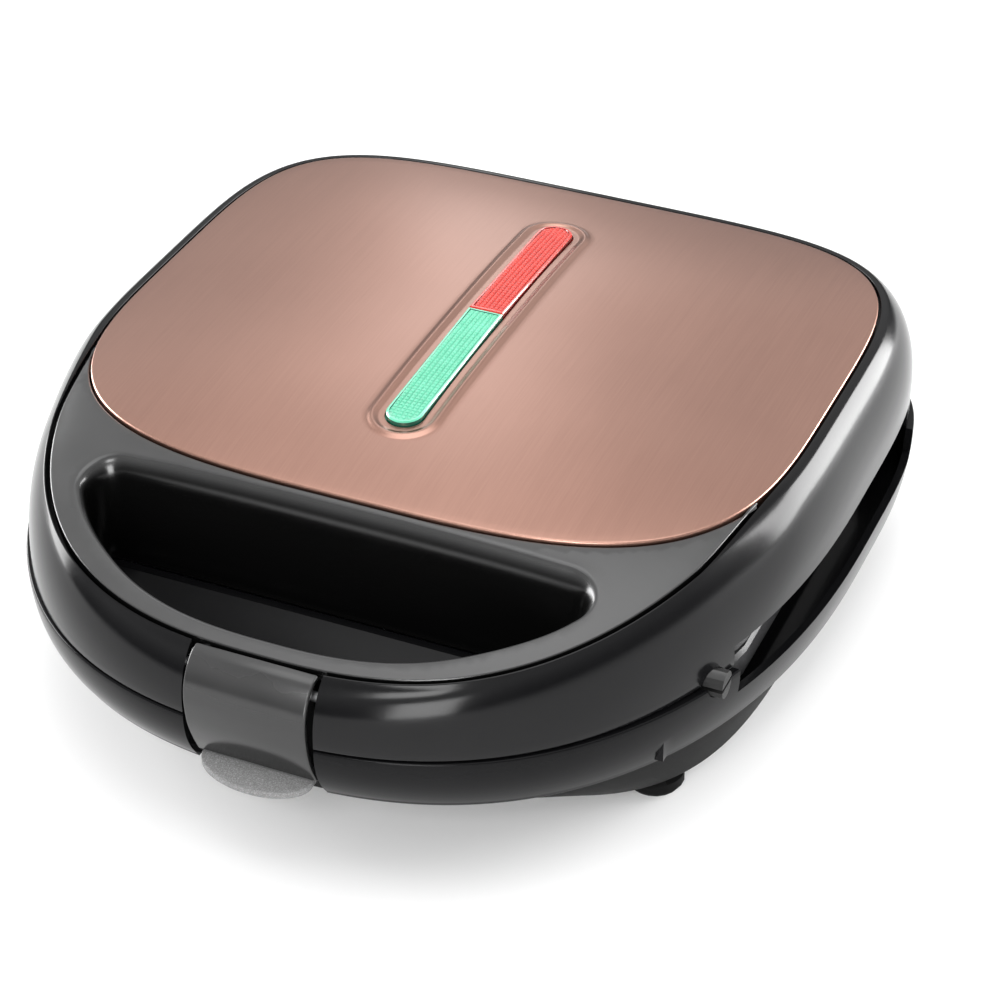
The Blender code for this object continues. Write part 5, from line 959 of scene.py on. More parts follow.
def stadium(half_width, front, back):
    """A strip with round ends, with its points in step with an outline's ring."""
    quarter = RING_STEPS // 4
    straight = quarter // 3
    run = (back - front) / 2 - half_width
    centre = (front + back) / 2
    first = []
    for i in range(quarter):
        if i <= straight:
            first.append((half_width, run * i / straight))
        else:
            angle = math.pi / 2 * (i - straight) / (quarter - straight)
            first.append((half_width * math.cos(angle), run + half_width * math.sin(angle)))
    right_back = first + [(0.0, run + half_width)]
    left_back = [(-x, y) for x, y in reversed(first)]
    left_front = [(x, -y) for x, y in reversed(left_back[:-1])]
    right_front = [(-x, y) for x, y in reversed(left_front)]
    ring = right_back + left_back + left_front + [(0.0, -run - half_width)] + right_front
    return [(x, centre + y) for x, y in ring]


# Inside both shells

FLANGE_NEAR = PLATE_FACE + PLATE_DEPTH + FLANGE_LIFT
FLANGE_FAR = FLANGE_NEAR + SHEET
SCREW_PLACES = [(x, y) for x in (-SCREW_X, SCREW_X) for y in (SCREW_FRONT, SCREW_BACK)]
BOTTOM_SCREW_PLACES = [
    (-BOTTOM_SCREW_FRONT_X, BOTTOM_SCREW_FRONT),
    (BOTTOM_SCREW_FRONT_X, BOTTOM_SCREW_FRONT),
    (-BOTTOM_SCREW_BACK_X, BOTTOM_SCREW_BACK),
    (BOTTOM_SCREW_BACK_X, BOTTOM_SCREW_BACK),
]
FOOT_PLACES = [(x, y) for x in (-FOOT_X, FOOT_X) for y in (FOOT_FRONT, FOOT_BACK)]
BLOCK_FRONT = LEAD_BACK + GAP


def rounded_rectangle(half_width, front, back, corner, steps=4):
    ring = []
    corners = ((1, front, -90), (1, back, 0), (-1, back, 90), (-1, front, 180))
    for side, y, start in corners:
        centre_x = side * (half_width - corner)
        centre_y = y + corner if y == front else y - corner
        for i in range(steps + 1):
            angle = math.radians(start + 90 * i / steps)
            ring.append((centre_x + corner * math.cos(angle), centre_y + corner * math.sin(angle)))
    return ring


def from_parting(side, distance):
    """A height measured away from the parting plane, up in the lid and down in the base."""
    return PARTING + side * distance


def span(side, near, far):
    return sorted((from_parting(side, near), from_parting(side, far)))


def screw_cutters(name, side, near, far):
    low, high = span(side, near, far)
    return rods(name, SCREW_RADIUS + GAP, low, high, "bare_metal", SCREW_PLACES)


def ear_span(side):
    near = HINGE_ARM_X + HINGE_ARM_WIDTH / 2 + GAP
    return sorted((side * near, side * (near + HINGE_EAR_WIDTH)))


def carrier_deck(name, rim, low, high, front):
    """Flat web inside a shell that carries the reflector, open for its bowl and the leads."""
    deck = prism(f"add_{name}_deck", grown(rim, -WALL * RIM_SHARE), low, high, "gloss_black")
    inset = (FLANGE_HALF_WIDTH - BOWL_HALF_WIDTH) / 4
    hole = rounded_rectangle(BOWL_HALF_WIDTH + inset / 2, BOWL_FRONT - inset, BOWL_BACK + inset,
                             BOWL_CORNER)
    wide = BASE_HALF_WIDTH + OVERRUN
    return cut(deck, prism(f"cut_{name}_deck", hole, low - OVERRUN, high + OVERRUN, "gloss_black"),
               box(f"cut_{name}_deck_front", (-wide, BASE_FRONT - OVERRUN, low - OVERRUN),
                   (wide, front, high + OVERRUN)),
               box(f"cut_{name}_deck_leads", (-LEAD_NOTCH, BOWL_BACK - OVERRUN, low - OVERRUN),
                   (LEAD_NOTCH, LEAD_BACK + GAP / 2, high + OVERRUN)))


def add_lid_posts(shell):
    """The web over the reflector, screw posts and the pads of the hinge ears."""
    low = from_parting(1, FLANGE_FAR + GAP)
    rim = grown(LID.ring(), -SKIN_SIDE_TUCK)
    deck = carrier_deck("lid", rim, low, low + WALL, SCOOP_REAR + 2 * GAP)
    for side in (-1, 1):
        inner, outer = ear_span(side)
        cut(deck, box(f"cut_deck_ear_{side}",
                      (inner - GAP, HINGE_Y - HINGE_EAR_DEPTH - GAP, low - OVERRUN),
                      (outer + GAP, LID_BACK + OVERRUN, low + OVERRUN)))
    add(shell, deck)
    for i, (x, y) in enumerate(SCREW_PLACES):
        add(shell, rod(f"add_lid_post_{i}", POST_RADIUS, low, floor_height(x, y) - WALL / 2,
                       "dark_plastic", (x, y, 0.0)))
    for side in (-1, 1):
        inner, outer = ear_span(side)
        pad_y = HINGE_Y - HINGE_EAR_DEPTH / 2
        pad_top = floor_height(outer, pad_y) - WALL / 2
        add(shell, box(f"add_ear_pad_{side}",
                       (inner - WALL, pad_y - HINGE_EAR_DEPTH / 3, HINGE_EAR_TOP + GAP),
                       (outer + WALL, pad_y + HINGE_EAR_DEPTH / 3, pad_top)))
    cut(shell, *screw_cutters("cut_lid_screw", 1, FLANGE_FAR, FLANGE_FAR + SCREW_LENGTH))


def ear_clear():
    return HINGE_ARM_X + HINGE_ARM_WIDTH / 2 + HINGE_EAR_WIDTH + WALL


def block_space(name, side):
    low, high = span(side, FLANGE_FAR - BLOCK_HEIGHT - GAP, FLANGE_FAR + GAP / 2)
    return box(name, (-BLOCK_LENGTH / 2 - GAP, BLOCK_FRONT - GAP, low),
               (BLOCK_LENGTH / 2 + GAP, BLOCK_FRONT + BLOCK_DEPTH + GAP, high))


def hinge_hole(name):
    reach = ear_clear() + OVERRUN
    return rod(name, PIN_RADIUS + GAP, -reach, reach, "bare_metal", (0.0, HINGE_Y, HINGE_Z), "X")


def gland_hole(name):
    return rod(name, GLAND_RADIUS + GAP, BASE_BACK - 5 * OVERRUN, BASE_BACK + OVERRUN, "rubber",
               (GLAND_X, 0.0, GLAND_Z), "Y")


# Lid


def shoulder_ring(low_ring, top_ring, start_heights, top_heights, angle):
    """One ring of a convex wall between a top edge and an upright lower edge."""
    steepest = math.radians(SHOULDER_STEEPEST)
    inward = (1 - math.cos(angle)) / (1 - math.cos(steepest))
    rise = math.sin(angle) / math.sin(steepest)
    return [(mix(low[0], top[0], inward), mix(low[1], top[1], inward), mix(start, height, rise))
            for low, top, start, height in zip(low_ring, top_ring, start_heights, top_heights)]


def band_ring(lip, outs, heights, shares, part):
    """A ring on the band round the opening, at a part of its way from the lip outwards."""
    ring = []
    for (x, y), out, height, share in zip(lip, outs, heights, shares):
        width = mix(BAND_WIDTH, GROOVE_LIP, share) * part
        drop = mix(BAND_DROP, GROOVE_LIP / 2, share) * part ** BAND_POWER
        ring.append((x + out.x * width, y + out.y * width, height - drop))
    return ring


def lip_ring(lip, outs, heights, turn):
    """A ring on the rounded inner edge of the opening: 0 is upright and 90 is level."""
    inward, below = quarter(LIP_ROUND, turn)
    return [(x + out.x * inward * LIP_SHARE, y + out.y * inward * LIP_SHARE, height - below)
            for (x, y), out, height in zip(lip, outs, heights)]


def lid_shell():
    angles = [math.tau * i / RING_STEPS for i in range(RING_STEPS)]
    shares = [front_share(angle) for angle in angles]
    lip = [opening_point(angle) for angle in angles]
    outs = outward(lip)
    heights = [opening_height(angle) for angle in angles]
    starts = [mix(SHOULDER_START_BACK, SHOULDER_START_FRONT, share) for share in shares]
    lid_ring = LID.ring()
    edge = band_ring(lip, outs, heights, shares, 1.0)
    edge_heights = [point[2] for point in edge]
    foot = PARTING + PARTING_GAP / 2
    rings = []
    for turn in EDGE_TURNS:
        inset, rise = quarter(EDGE_ROUND, turn)
        rings.append(at_height(grown(lid_ring, -inset), foot + rise))
    for i in range(SHOULDER_RINGS + 1):
        angle = math.radians(SHOULDER_STEEPEST * i / SHOULDER_RINGS)
        rings.append(shoulder_ring(lid_ring, edge, starts, edge_heights, angle))
    rings += [band_ring(lip, outs, heights, shares, part) for part in BAND_SHARES]
    rings += [lip_ring(lip, outs, heights, turn) for turn in LIP_TURNS]
    slot = stadium(CARRIER_HALF_WIDTH + GAP, STRIP_FRONT - CARRIER_FLANGE - GAP,
                   STRIP_BACK + CARRIER_FLANGE + GAP)
    floors = [[(x, y, z - RECESS_DEPTH) for (x, y), z in zip(lip, heights)]]
    for share in RECESS_SHARES:
        floors.append([(x, y, floor_height(x, y)) for x, y in mixed(lip, slot, share)])
    under = [[(x, y, z - WALL) for x, y, z in ring] for ring in reversed(floors[1:])]
    inner = []
    for i in range(SHOULDER_RINGS, -1, -INNER_RING_STRIDE):
        angle = SHOULDER_STEEPEST * i / SHOULDER_RINGS
        outer = shoulder_ring(lid_ring, edge, starts, edge_heights, math.radians(angle))
        flat = grown([(x, y) for x, y, _ in outer], -WALL)
        down = WALL * math.sin(math.radians(angle))
        inner.append([(x, y, min(point[2] - down, floor[2] - WALL))
                      for (x, y), point, floor in zip(flat, outer, floors[0])])
    inner.append(at_height(grown(lid_ring, -WALL), foot))
    shell = loft("lid_shell_fine", rings + floors + under + inner, "gloss_black", joined=True)
    for side in (-1, 1):
        half = LATCH_HALF_WIDTH + LATCH_SIDE_GAP
        inner_x, outer_x = sorted((side * (half - GAP), side * (half + CHEEK)))
        front, back = LATCH_PIN_Y - LATCH_BOSS_RADIUS, LATCH_NOTCH_Y + GAP
        low, high = PARTING + CHEEK + 2 * GAP, LATCH_PIN_Z + LATCH_BOSS_RADIUS
        profile = [(front, low), (front, LATCH_PIN_Z - LATCH_BOSS_RADIUS), (LATCH_PIN_Y + GAP, high - GAP),
                   (back, high - GAP), (back, low)]
        add(shell, side_profile(f"add_cheek_{side}", profile, inner_x, outer_x, "gloss_black"))
    cut(shell, latch_notch("cut_lid_notch", 2 * GAP), latch_pin_hole("cut_lid_pin_hole"),
        scoop_solid("cut_scoop", SCOOP_WALL + GAP, PARTING - OVERRUN, CROWN_TOP + OVERRUN))
    add_lid_posts(shell)
    cut_side_slots(shell, "lid", PARTING - OVERRUN, SLOT_TOP)
    cut(shell, box("cut_lid_rear", (-LID_HALF_WIDTH - OVERRUN, REAR_STEP_Y, PARTING - OVERRUN),
                   (LID_HALF_WIDTH + OVERRUN, LID_BACK + OVERRUN, LID_REAR_EDGE)),
        release_hole("cut_lid_release"))
    return placed(baked(shell), "lid", "lid_shell", slot="gloss_black")


def deck_edges():
    """The deck's edge along the panel and along the groove, both from left to right."""
    first, last = math.radians(DECK_TIP_ANGLE - 180), math.radians(-DECK_TIP_ANGLE)
    near, far = [], []
    for i in range(DECK_COLUMNS + 1):
        angle = mix(first, last, i / DECK_COLUMNS)
        panel_x, panel_y = PANEL.point(angle)
        reveal = PANEL_REVEAL - GAP
        near.append((panel_x + math.cos(angle) * reveal, panel_y + math.sin(angle) * reveal))
        far.append(opening_point(angle, -DECK_INSET))
    return near, far


def inside(ring, x, y):
    """Whether a point lies inside the closed ring."""
    found = False
    for (ax, ay), (bx, by) in zip(ring, ring[1:] + ring[:1]):
        if (ay > y) != (by > y) and x < (bx - ax) * (y - ay) / (by - ay) + ax:
            found = not found
    return found


def clear_of(ring, x, y, distance):
    return all((x - a) ** 2 + (y - b) ** 2 > distance * distance for a, b in ring)


def sheet_with_hole(bm, border, hole, height):
    """Fills the space between a border and a hole, and returns the vertices of both."""
    points = [Vector(point) for point in border + hole]
    count = len(border)
    edges = [(i, (i + 1) % count) for i in range(count)]
    edges += [(count + i, count + (i + 1) % len(hole)) for i in range(len(hole))]
    low_x, high_x = min(x for x, _ in border), max(x for x, _ in border)
    low_y, high_y = min(y for _, y in border), max(y for _, y in border)
    row = 0
    y = low_y
    while y < high_y:
        x = low_x + (row % 2) * DECK_GRID / 2
        while x < high_x:
            kept = inside(border, x, y) and not inside(hole, x, y)
            if kept and clear_of(border + hole, x, y, DECK_GRID * CLEAR_SHARE):
                points.append(Vector((x, y)))
            x += DECK_GRID
        y += DECK_GRID * ROW_SHARE
        row += 1
    made, _, faces, _, _, _ = delaunay_2d_cdt(points, edges, [], 1, MERGE_DISTANCE)
    verts = [bm.verts.new((point.x, point.y, height(point.x, point.y))) for point in made]
    for face in faces:
        middle = sum((made[i] for i in face), Vector((0.0, 0.0))) / len(face)
        if not inside(hole, middle.x, middle.y):
            bm.faces.new([verts[i] for i in face])
    return verts[:count], verts[count:count + len(hole)]


def skin(bm, low, high):
    for i in range(len(low)):
        j = (i + 1) % len(low)
        bm.faces.new((low[i], low[j], high[j], high[i]))


def handle_deck():
    """The crescent in front of the panel, with the rounded walls of the finger scoop."""
    near, far = deck_edges()
    border = far + list(reversed(near))
    ring = scoop_ring()
    blend_start, blend_stop = SCOOP_FRONT + SCOOP_FRONT_BLEND, SCOOP_REAR - SCOOP_REAR_BLEND
    rear = [smooth_share(y, blend_start, blend_stop) for _, y in ring]
    across = [mix(SCOOP_FRONT_ROUND[0], SCOOP_REAR_ROUND[0], share) for share in rear]
    down = [mix(SCOOP_FRONT_ROUND[1], SCOOP_REAR_ROUND[1], share) for share in rear]
    outs = outward(ring)

    def fillet_ring(turn):
        """0 is level, where the fillet leaves the deck, and 90 is upright."""
        sine, cosine = math.sin(math.radians(turn)), math.cos(math.radians(turn))
        made = []
        for (x, y), out, wide, deep in zip(ring, outs, across, down):
            start_x, start_y = x + out.x * wide, y + out.y * wide
            z = deck_height(start_x, start_y) - deep * (1 - cosine)
            point = (x + out.x * wide * (1 - sine), y + out.y * wide * (1 - sine))
            made.append((*leaned([point], z)[0], z))
        return made

    bm = bmesh.new()
    inset = grown(border, -DECK_EDGE_ROUND)
    start = fillet_ring(0)
    outer, hole = sheet_with_hole(bm, inset, [(x, y) for x, y, _ in start], deck_height)
    for vert, place in zip(hole, start):
        vert.co = place
    last = outer
    for turn in DECK_TURNS:
        drop, short = quarter(DECK_EDGE_ROUND, turn)
        out = DECK_EDGE_ROUND - short
        layer = [bm.verts.new((x, y, deck_height(*base) - drop))
                 for (x, y), base in zip(grown(inset, out), inset)]
        skin(bm, last, layer)
        last = layer
    skirt = [bm.verts.new((x, y, z - DECK_THICKNESS)) for x, y, z in [v.co for v in last]]
    skin(bm, last, skirt)
    last = hole
    for turn in FILLET_TURNS:
        layer = [bm.verts.new(place) for place in fillet_ring(turn)]
        skin(bm, last, layer)
        last = layer
    low = PARTING + PARTING_GAP / 2
    top = fillet_ring(90)
    for share in SCOOP_WALL_SHARES:
        layer = []
        for (x, y), (_, _, z) in zip(ring, top):
            height = mix(z, low + EDGE_ROUND, share)
            layer.append(bm.verts.new((*leaned([(x, y)], height)[0], height)))
        skin(bm, last, layer)
        last = layer
    for turn in SCOOP_FOOT_TURNS:
        out, rise = quarter(EDGE_ROUND, turn)
        height = low + rise
        layer = [bm.verts.new((*place, height)) for place in leaned(grown(ring, out), height)]
        skin(bm, last, layer)
        last = layer
    for growth, height in ((SCOOP_WALL, low), (SCOOP_WALL, low + OVERRUN)):
        layer = [bm.verts.new((*place, height)) for place in leaned(grown(ring, growth), height)]
        skin(bm, last, layer)
        last = layer
    deck = solid("handle_deck_fine", bm, "satin_black")
    return placed(deck, "lid", "handle_deck", slot="satin_black")


def top_panel():
    """Pressed sheet with turned-down edges and an embossed rim round the indicator."""
    outline = PANEL.ring()
    slot = stadium(LENS_HALF_WIDTH + GAP, STRIP_FRONT - GAP, STRIP_BACK + GAP)
    last_rim = grown(slot, EMBOSS_STOP)

    def crowned(ring, rise):
        return [(x, y, crown_height(x, y) + rise) for x, y in ring]

    flat, first = (EMBOSS_START * share for share in EMBOSS_FLAT_SHARES)
    rings = [crowned(slot, -SHEET), crowned(slot, -SHEET / 4), crowned(grown(slot, SHEET / 4), 0.0),
             crowned(grown(slot, flat), 0.0)]
    for i in range(EMBOSS_STEPS + 1):
        share = i / EMBOSS_STEPS
        rise = EMBOSS_RISE * math.sin(math.pi * share) ** 2
        rings.append(crowned(grown(slot, mix(first, EMBOSS_STOP, share)), rise))
    for i in range(1, PANEL_STEPS):
        share = (i / PANEL_STEPS) ** PANEL_SPACING_POWER
        rings.append(crowned(mixed(last_rim, grown(outline, -2 * PANEL_EDGE_ROUND), share), 0.0))
    for turn in PANEL_TURNS:
        drop, short = quarter(PANEL_EDGE_ROUND, turn)
        rings.append(at_height(grown(outline, -short), PANEL_EDGE_HEIGHT - drop))
    rings.append(at_height(outline, PANEL_EDGE_HEIGHT - PANEL_SKIRT))
    within = grown(outline, -SHEET)
    rings.append(at_height(within, PANEL_EDGE_HEIGHT - PANEL_SKIRT))
    rings.append(at_height(within, PANEL_EDGE_HEIGHT - PANEL_EDGE_ROUND - SHEET))
    for share in PANEL_UNDER_SHARES:
        rings.append(crowned(mixed(last_rim, within, share), -SHEET * UNDERSIDE_SHARE))
    panel = loft("top_panel_fine", rings, "copper", joined=True)
    return placed(panel, "lid", "top_panel", slot="copper")


def knurl_tree():
    """Node tree that sets small pyramids on every vertex of a mesh and gives them a finish."""
    tree = bpy.data.node_groups.new("knurl", "GeometryNodeTree")
    sockets = tree.interface
    for name, kind in (("Geometry", "Geometry"), ("Radius", "Float"), ("Height", "Float"),
                       ("Finish", "Material")):
        sockets.new_socket(name, in_out="INPUT", socket_type=f"NodeSocket{kind}")
    sockets.new_socket("Geometry", in_out="OUTPUT", socket_type="NodeSocketGeometry")
    graph = Graph(tree)
    entry = tree.nodes.new("NodeGroupInput")
    given = {socket.name: Signal(graph, socket) for socket in entry.outputs if socket.name}
    pyramid = graph.add("GeometryNodeMeshCone", {}, {"Vertices": 4, "Radius Bottom": given["Radius"],
                                                     "Radius Top": 0.0, "Depth": given["Height"]})
    turn = (0.0, 0.0, math.pi / 4)
    points = graph.add("GeometryNodeMeshToPoints", {}, {"Mesh": given["Geometry"]})
    spread = graph.add("GeometryNodeInstanceOnPoints", {}, {"Points": points, "Instance": pyramid,
                                                            "Rotation": turn})
    real = graph.add("GeometryNodeRealizeInstances", {}, {"Geometry": spread})
    done = graph.add("GeometryNodeSetMaterial", {}, {"Geometry": real, "Material": given["Finish"]})
    leave = tree.nodes.new("NodeGroupOutput")
    graph.feed(leave.inputs[0], done)
    return tree


def knurl(name, places, material, tree):
    """Rows of pyramids at the places, as one plain mesh."""
    bm = bmesh.new()
    for place in places:
        bm.verts.new(place)
    mesh = bpy.data.meshes.new(name)
    bm.to_mesh(mesh)
    bm.free()
    thing = bpy.data.objects.new(name, mesh)
    bpy.context.scene.collection.objects.link(thing)
    modifier = thing.modifiers.new("knurl", "NODES")
    modifier.node_group = tree
    values = {"Radius": KNURL_PITCH / math.sqrt(2), "Height": KNURL_HEIGHT, "Finish": FINISHES[material]}
    for item in tree.interface.items_tree:
        if item.in_out == "INPUT" and item.name in values:
            modifier[item.identifier] = values[item.name]
    bpy.context.view_layer.update()
    graph = bpy.context.evaluated_depsgraph_get()
    made = bpy.data.meshes.new_from_object(thing.evaluated_get(graph), depsgraph=graph)
    thing.modifiers.clear()
    thing.data = made
    return thing


def half_strip(half_width, front, back, round_front, steps=14):
    """Outline of half the indicator: square at the joint and round at its other end."""
    end, inward = (front, 1) if round_front else (back, -1)
    joint = back if round_front else front
    centre = end + inward * half_width
    ring = [(half_width, joint)]
    for i in range(steps * 2 + 1):
        angle = math.pi * i / (steps * 2)
        ring.append((half_width * math.cos(angle), centre - inward * half_width * math.sin(angle)))
    ring.append((-half_width, joint))
    return ring if not round_front else list(reversed(ring))


def lens(name, front, back, round_front, colour, tree):
    """Half of the indicator: a bevelled clear bar with a knurled well under its face."""

    def section(shrink, rise):
        ring = half_strip(LENS_HALF_WIDTH - shrink, front + shrink, back - shrink, round_front)
        return [(x, y, crown_height(0.0, y) + rise) for x, y in ring]

    flange = [section(-LENS_FLANGE * FLANGE_SHARE, rise)
              for rise in (-LENS_RISE - LENS_FLANGE / 2, -LENS_FLANGE)]
    wall = [section(0.0, -LENS_FLANGE), section(0.0, LENS_RISE - LENS_CHAMFER)]
    face = [section(LENS_CHAMFER, LENS_RISE), section(LENS_BORDER, LENS_RISE)]
    well = [section(LENS_BORDER + LENS_WELL / 2, LENS_RISE - LENS_WELL)]
    body = loft(f"{name}_bar", flange + wall + face + well, f"{colour}_lens")
    # The steep sides take a darker copy of the lens finish: painted shade.
    body.data.materials.append(FINISHES[f"{colour}_wall"])
    for polygon in body.data.polygons:
        if abs(polygon.normal.z) < LEVEL_NORMAL:
            polygon.material_index = 1
    placed(body, "lid", name, slot=f"{colour}_lens")
    half = LENS_HALF_WIDTH - LENS_BORDER - LENS_WELL / 2
    columns = int(2 * half / KNURL_PITCH)
    outline = half_strip(half, front + LENS_BORDER, back - LENS_BORDER, round_front)
    places = []
    rows = int((back - front - 2 * LENS_BORDER) / KNURL_PITCH)
    for i in range(columns):
        x = (i - (columns - 1) / 2) * 2 * half / columns
        for j in range(rows):
            y = front + LENS_BORDER + (j + 0.5) * (back - front - 2 * LENS_BORDER) / rows
            if inside(outline, x * KNURL_END_SHARE, y):
                places.append((x, y, crown_height(0.0, y) + LENS_RISE - LENS_WELL + GAP / 10))
    placed(knurl(f"{name}_knurl", places, f"{colour}_lens", tree), "lid", slot=f"{colour}_lens")
    return body


# Latch


def latch_face(distance=0.0, steps=5):
    """Outer face of the latch from the top roll down as y, z points, moved inwards."""
    depth_shares = (0.0, 0.34, 0.66, 0.90, 1.0, 1.0, 0.90, 0.68)
    height_shares = (0.0, 0.02, 0.10, 0.21, 0.33, 0.46, 0.64, 0.82)
    marks = [Vector((mix(LATCH_TOP_Y, LATCH_BULGE_Y, depth), mix(LATCH_TOP, LATCH_BOTTOM, height)))
             for depth, height in zip(depth_shares, height_shares)]
    marks.append(Vector((LATCH_BOTTOM_Y, LATCH_BOTTOM)))
    padded = [marks[0] * 2 - marks[1]] + marks + [marks[-1] * 2 - marks[-2]]
    path = []
    for a, b, c, d in zip(padded, padded[1:], padded[2:], padded[3:]):
        for i in range(steps):
            t = i / steps
            path.append((b * 2 + (c - a) * t + (a * 2 - b * 5 + c * 4 - d) * t * t
                         + (b * 3 - a - c * 3 + d) * t ** 3) / 2)
    path.append(marks[-1])
    moved = []
    for i, point in enumerate(path):
        along = (path[min(i + 1, len(path) - 1)] - path[max(i - 1, 0)]).normalized()
        moved.append((point.x - along.y * distance, point.y + along.x * distance))
    return moved


def latch_cover():
    profile = latch_face() + list(reversed(latch_face(LATCH_COVER)))
    cover = side_profile("latch_cover_fine", profile, -LATCH_HALF_WIDTH, LATCH_HALF_WIDTH, "latch_satin_painted_top_light")
    softened(cover, COVER_ROUND, FINE_SEGMENTS)
    return placed(cover, "latch", "latch_cover", slot="satin_black")


def thumb_tab(name):
    """Half-round tab below the cover, which slopes down towards its tip."""
    reach = LATCH_BOTTOM_Y - TAB_TIP_Y
    ring = []
    for i in range(TAB_STEPS + 1):
        angle = math.pi * i / TAB_STEPS
        ring.append((-(TAB_HALF_WIDTH + GAP / 2) * math.cos(angle),
                     LATCH_BOTTOM_Y - (reach + GAP / 2) * math.sin(angle)))
    root = KEEPER_WALL_Y - KEEPER_LIP_DEPTH - 4 * GAP
    ring += [(TAB_HALF_WIDTH + GAP / 2, root), (-TAB_HALF_WIDTH - GAP / 2, root)]
    top = LATCH_BOTTOM - GAP / 2
    rings = [[(x, y, top - TAB_DROP * max(LATCH_BOTTOM_Y - y, 0.0) / reach - thickness) for x, y in ring]
             for thickness in (TAB_THICKNESS + GAP, 0.0)]
    tab = softened(loft(name, rings, "tab_grey"), SMALL_ROUND, FINE_SEGMENTS)
    return placed(tab, "latch", slot="dark_plastic")


def latch_body():
    refined("latch_body", "latch", "dark_plastic", slot="dark_plastic")
    thumb_tab("thumb_tab_fine")


# Base


def rear_wall():
    """Wall and shelf that close the base behind the plates, under the hinge."""
    top = PARTING - PARTING_GAP / 2
    step_share = (REAR_STEP_Y - BASE_MIDDLE) / BASE.half(True)[0]
    reach = BASE.point(math.asin(step_share ** (BASE_BACK_SQUARENESS / 2)))[0]
    wall = box("add_rear_wall", (-reach + WALL / 2, REAR_STEP_Y - WALL, DECK_TOP - WALL / 2),
               (reach - WALL / 2, REAR_STEP_Y, top))
    inside = BASE_BACK - WALL / 2
    shelf = box("add_rear_shelf", (-HINGE_ARM_X - WALL, REAR_STEP_Y - WALL / 2, BASE_REAR_EDGE - WALL),
                (HINGE_ARM_X + WALL, inside - WALL, BASE_REAR_EDGE))
    return add(wall, shelf)


def apron():
    """Dished deck of the base under the finger scoop, with its own rear wall."""
    columns, rows = APRON_COLUMNS, APRON_ROWS
    reach = BASE.half(False)[0]
    inset = WALL / 2
    shrunk = Outline(BASE_HALF_WIDTH - inset, BASE_FRONT + inset, BASE_MIDDLE, BASE_BACK,
                     LID_FRONT_SQUARENESS, BASE_BACK_SQUARENESS)
    along = ((BASE_MIDDLE - APRON_REAR) / (reach - inset)) ** (LID_FRONT_SQUARENESS / 2)
    first = math.asin(along)
    top_height = PARTING - PARTING_GAP / 2
    bm = bmesh.new()
    layers = []
    for drop in (0.0, WALL):
        layer = []
        for i in range(columns + 1):
            angle = mix(-math.pi + first, -first, i / columns)
            front_x, front_y = shrunk.point(angle)
            width = math.sin(math.pi * i / columns)
            row = []
            for j in range(rows + 1):
                share = j / rows
                length = math.sin(math.pi * share)
                dish = APRON_DISH * length ** DISH_LENGTH_POWER * width ** DISH_WIDTH_POWER
                y = mix(front_y, APRON_REAR, share)
                row.append(bm.verts.new((front_x, y, top_height - dish - drop)))
            layer.append(row)
        layers.append(layer)
    for layer in layers:
        for i in range(columns):
            for j in range(rows):
                bm.faces.new((layer[i][j], layer[i + 1][j], layer[i + 1][j + 1], layer[i][j + 1]))
    top, bottom = layers
    for i in range(columns):
        for j in (0, rows):
            bm.faces.new((top[i][j], top[i + 1][j], bottom[i + 1][j], bottom[i][j]))
    for i in (0, columns):
        for j in range(rows):
            bm.faces.new((top[i][j], top[i][j + 1], bottom[i][j + 1], bottom[i][j]))
    plate = solid("add_apron", bm, "gloss_black")
    wall_x, _ = shrunk.point(-first)
    add(plate, box("add_apron_wall", (-wall_x, APRON_REAR - GAP, DECK_TOP - WALL),
                   (wall_x, APRON_REAR + WALL, top_height)))
    return plate


def keeper_wall():
    half = LATCH_HALF_WIDTH + LATCH_SIDE_GAP + WALL
    wall = box("add_keeper_wall", (-half, KEEPER_WALL_Y, SKIN_LOW + WALL),
               (half, KEEPER_WALL_Y + WALL, PARTING - WALL / 2))
    for side in (-1, 1):
        inner, outer = sorted((side * (half - WALL), side * half))
        add(wall, box(f"add_keeper_side_{side}", (inner, BASE_FRONT + SKIN_FRONT_TUCK, SKIN_LOW + WALL),
                      (outer, KEEPER_WALL_Y + GAP, PARTING - WALL / 2)))
    return wall


def hinge_arm(side):
    low_x = side * HINGE_ARM_X - HINGE_ARM_WIDTH / 2
    barrel = []
    for i in range(ROUND_STEPS + 1):
        angle = math.radians(-90 + 180 * i / ROUND_STEPS)
        barrel.append((HINGE_Y + HINGE_ARM_RADIUS * math.cos(angle),
                       HINGE_Z + HINGE_ARM_RADIUS * math.sin(angle)))
    front = HINGE_Y - HINGE_ARM_LENGTH - HINGE_PILLAR_DEPTH / 2
    pillar_back = front + HINGE_PILLAR_DEPTH
    profile = barrel + [(front, HINGE_Z + HINGE_ARM_RADIUS), (front, DECK_TOP - WALL / 2),
                        (pillar_back, DECK_TOP - WALL / 2), (pillar_back, HINGE_Z - HINGE_ARM_RADIUS)]
    return side_profile(f"add_hinge_arm_{side}", profile, low_x, low_x + HINGE_ARM_WIDTH,
                        "gloss_black")


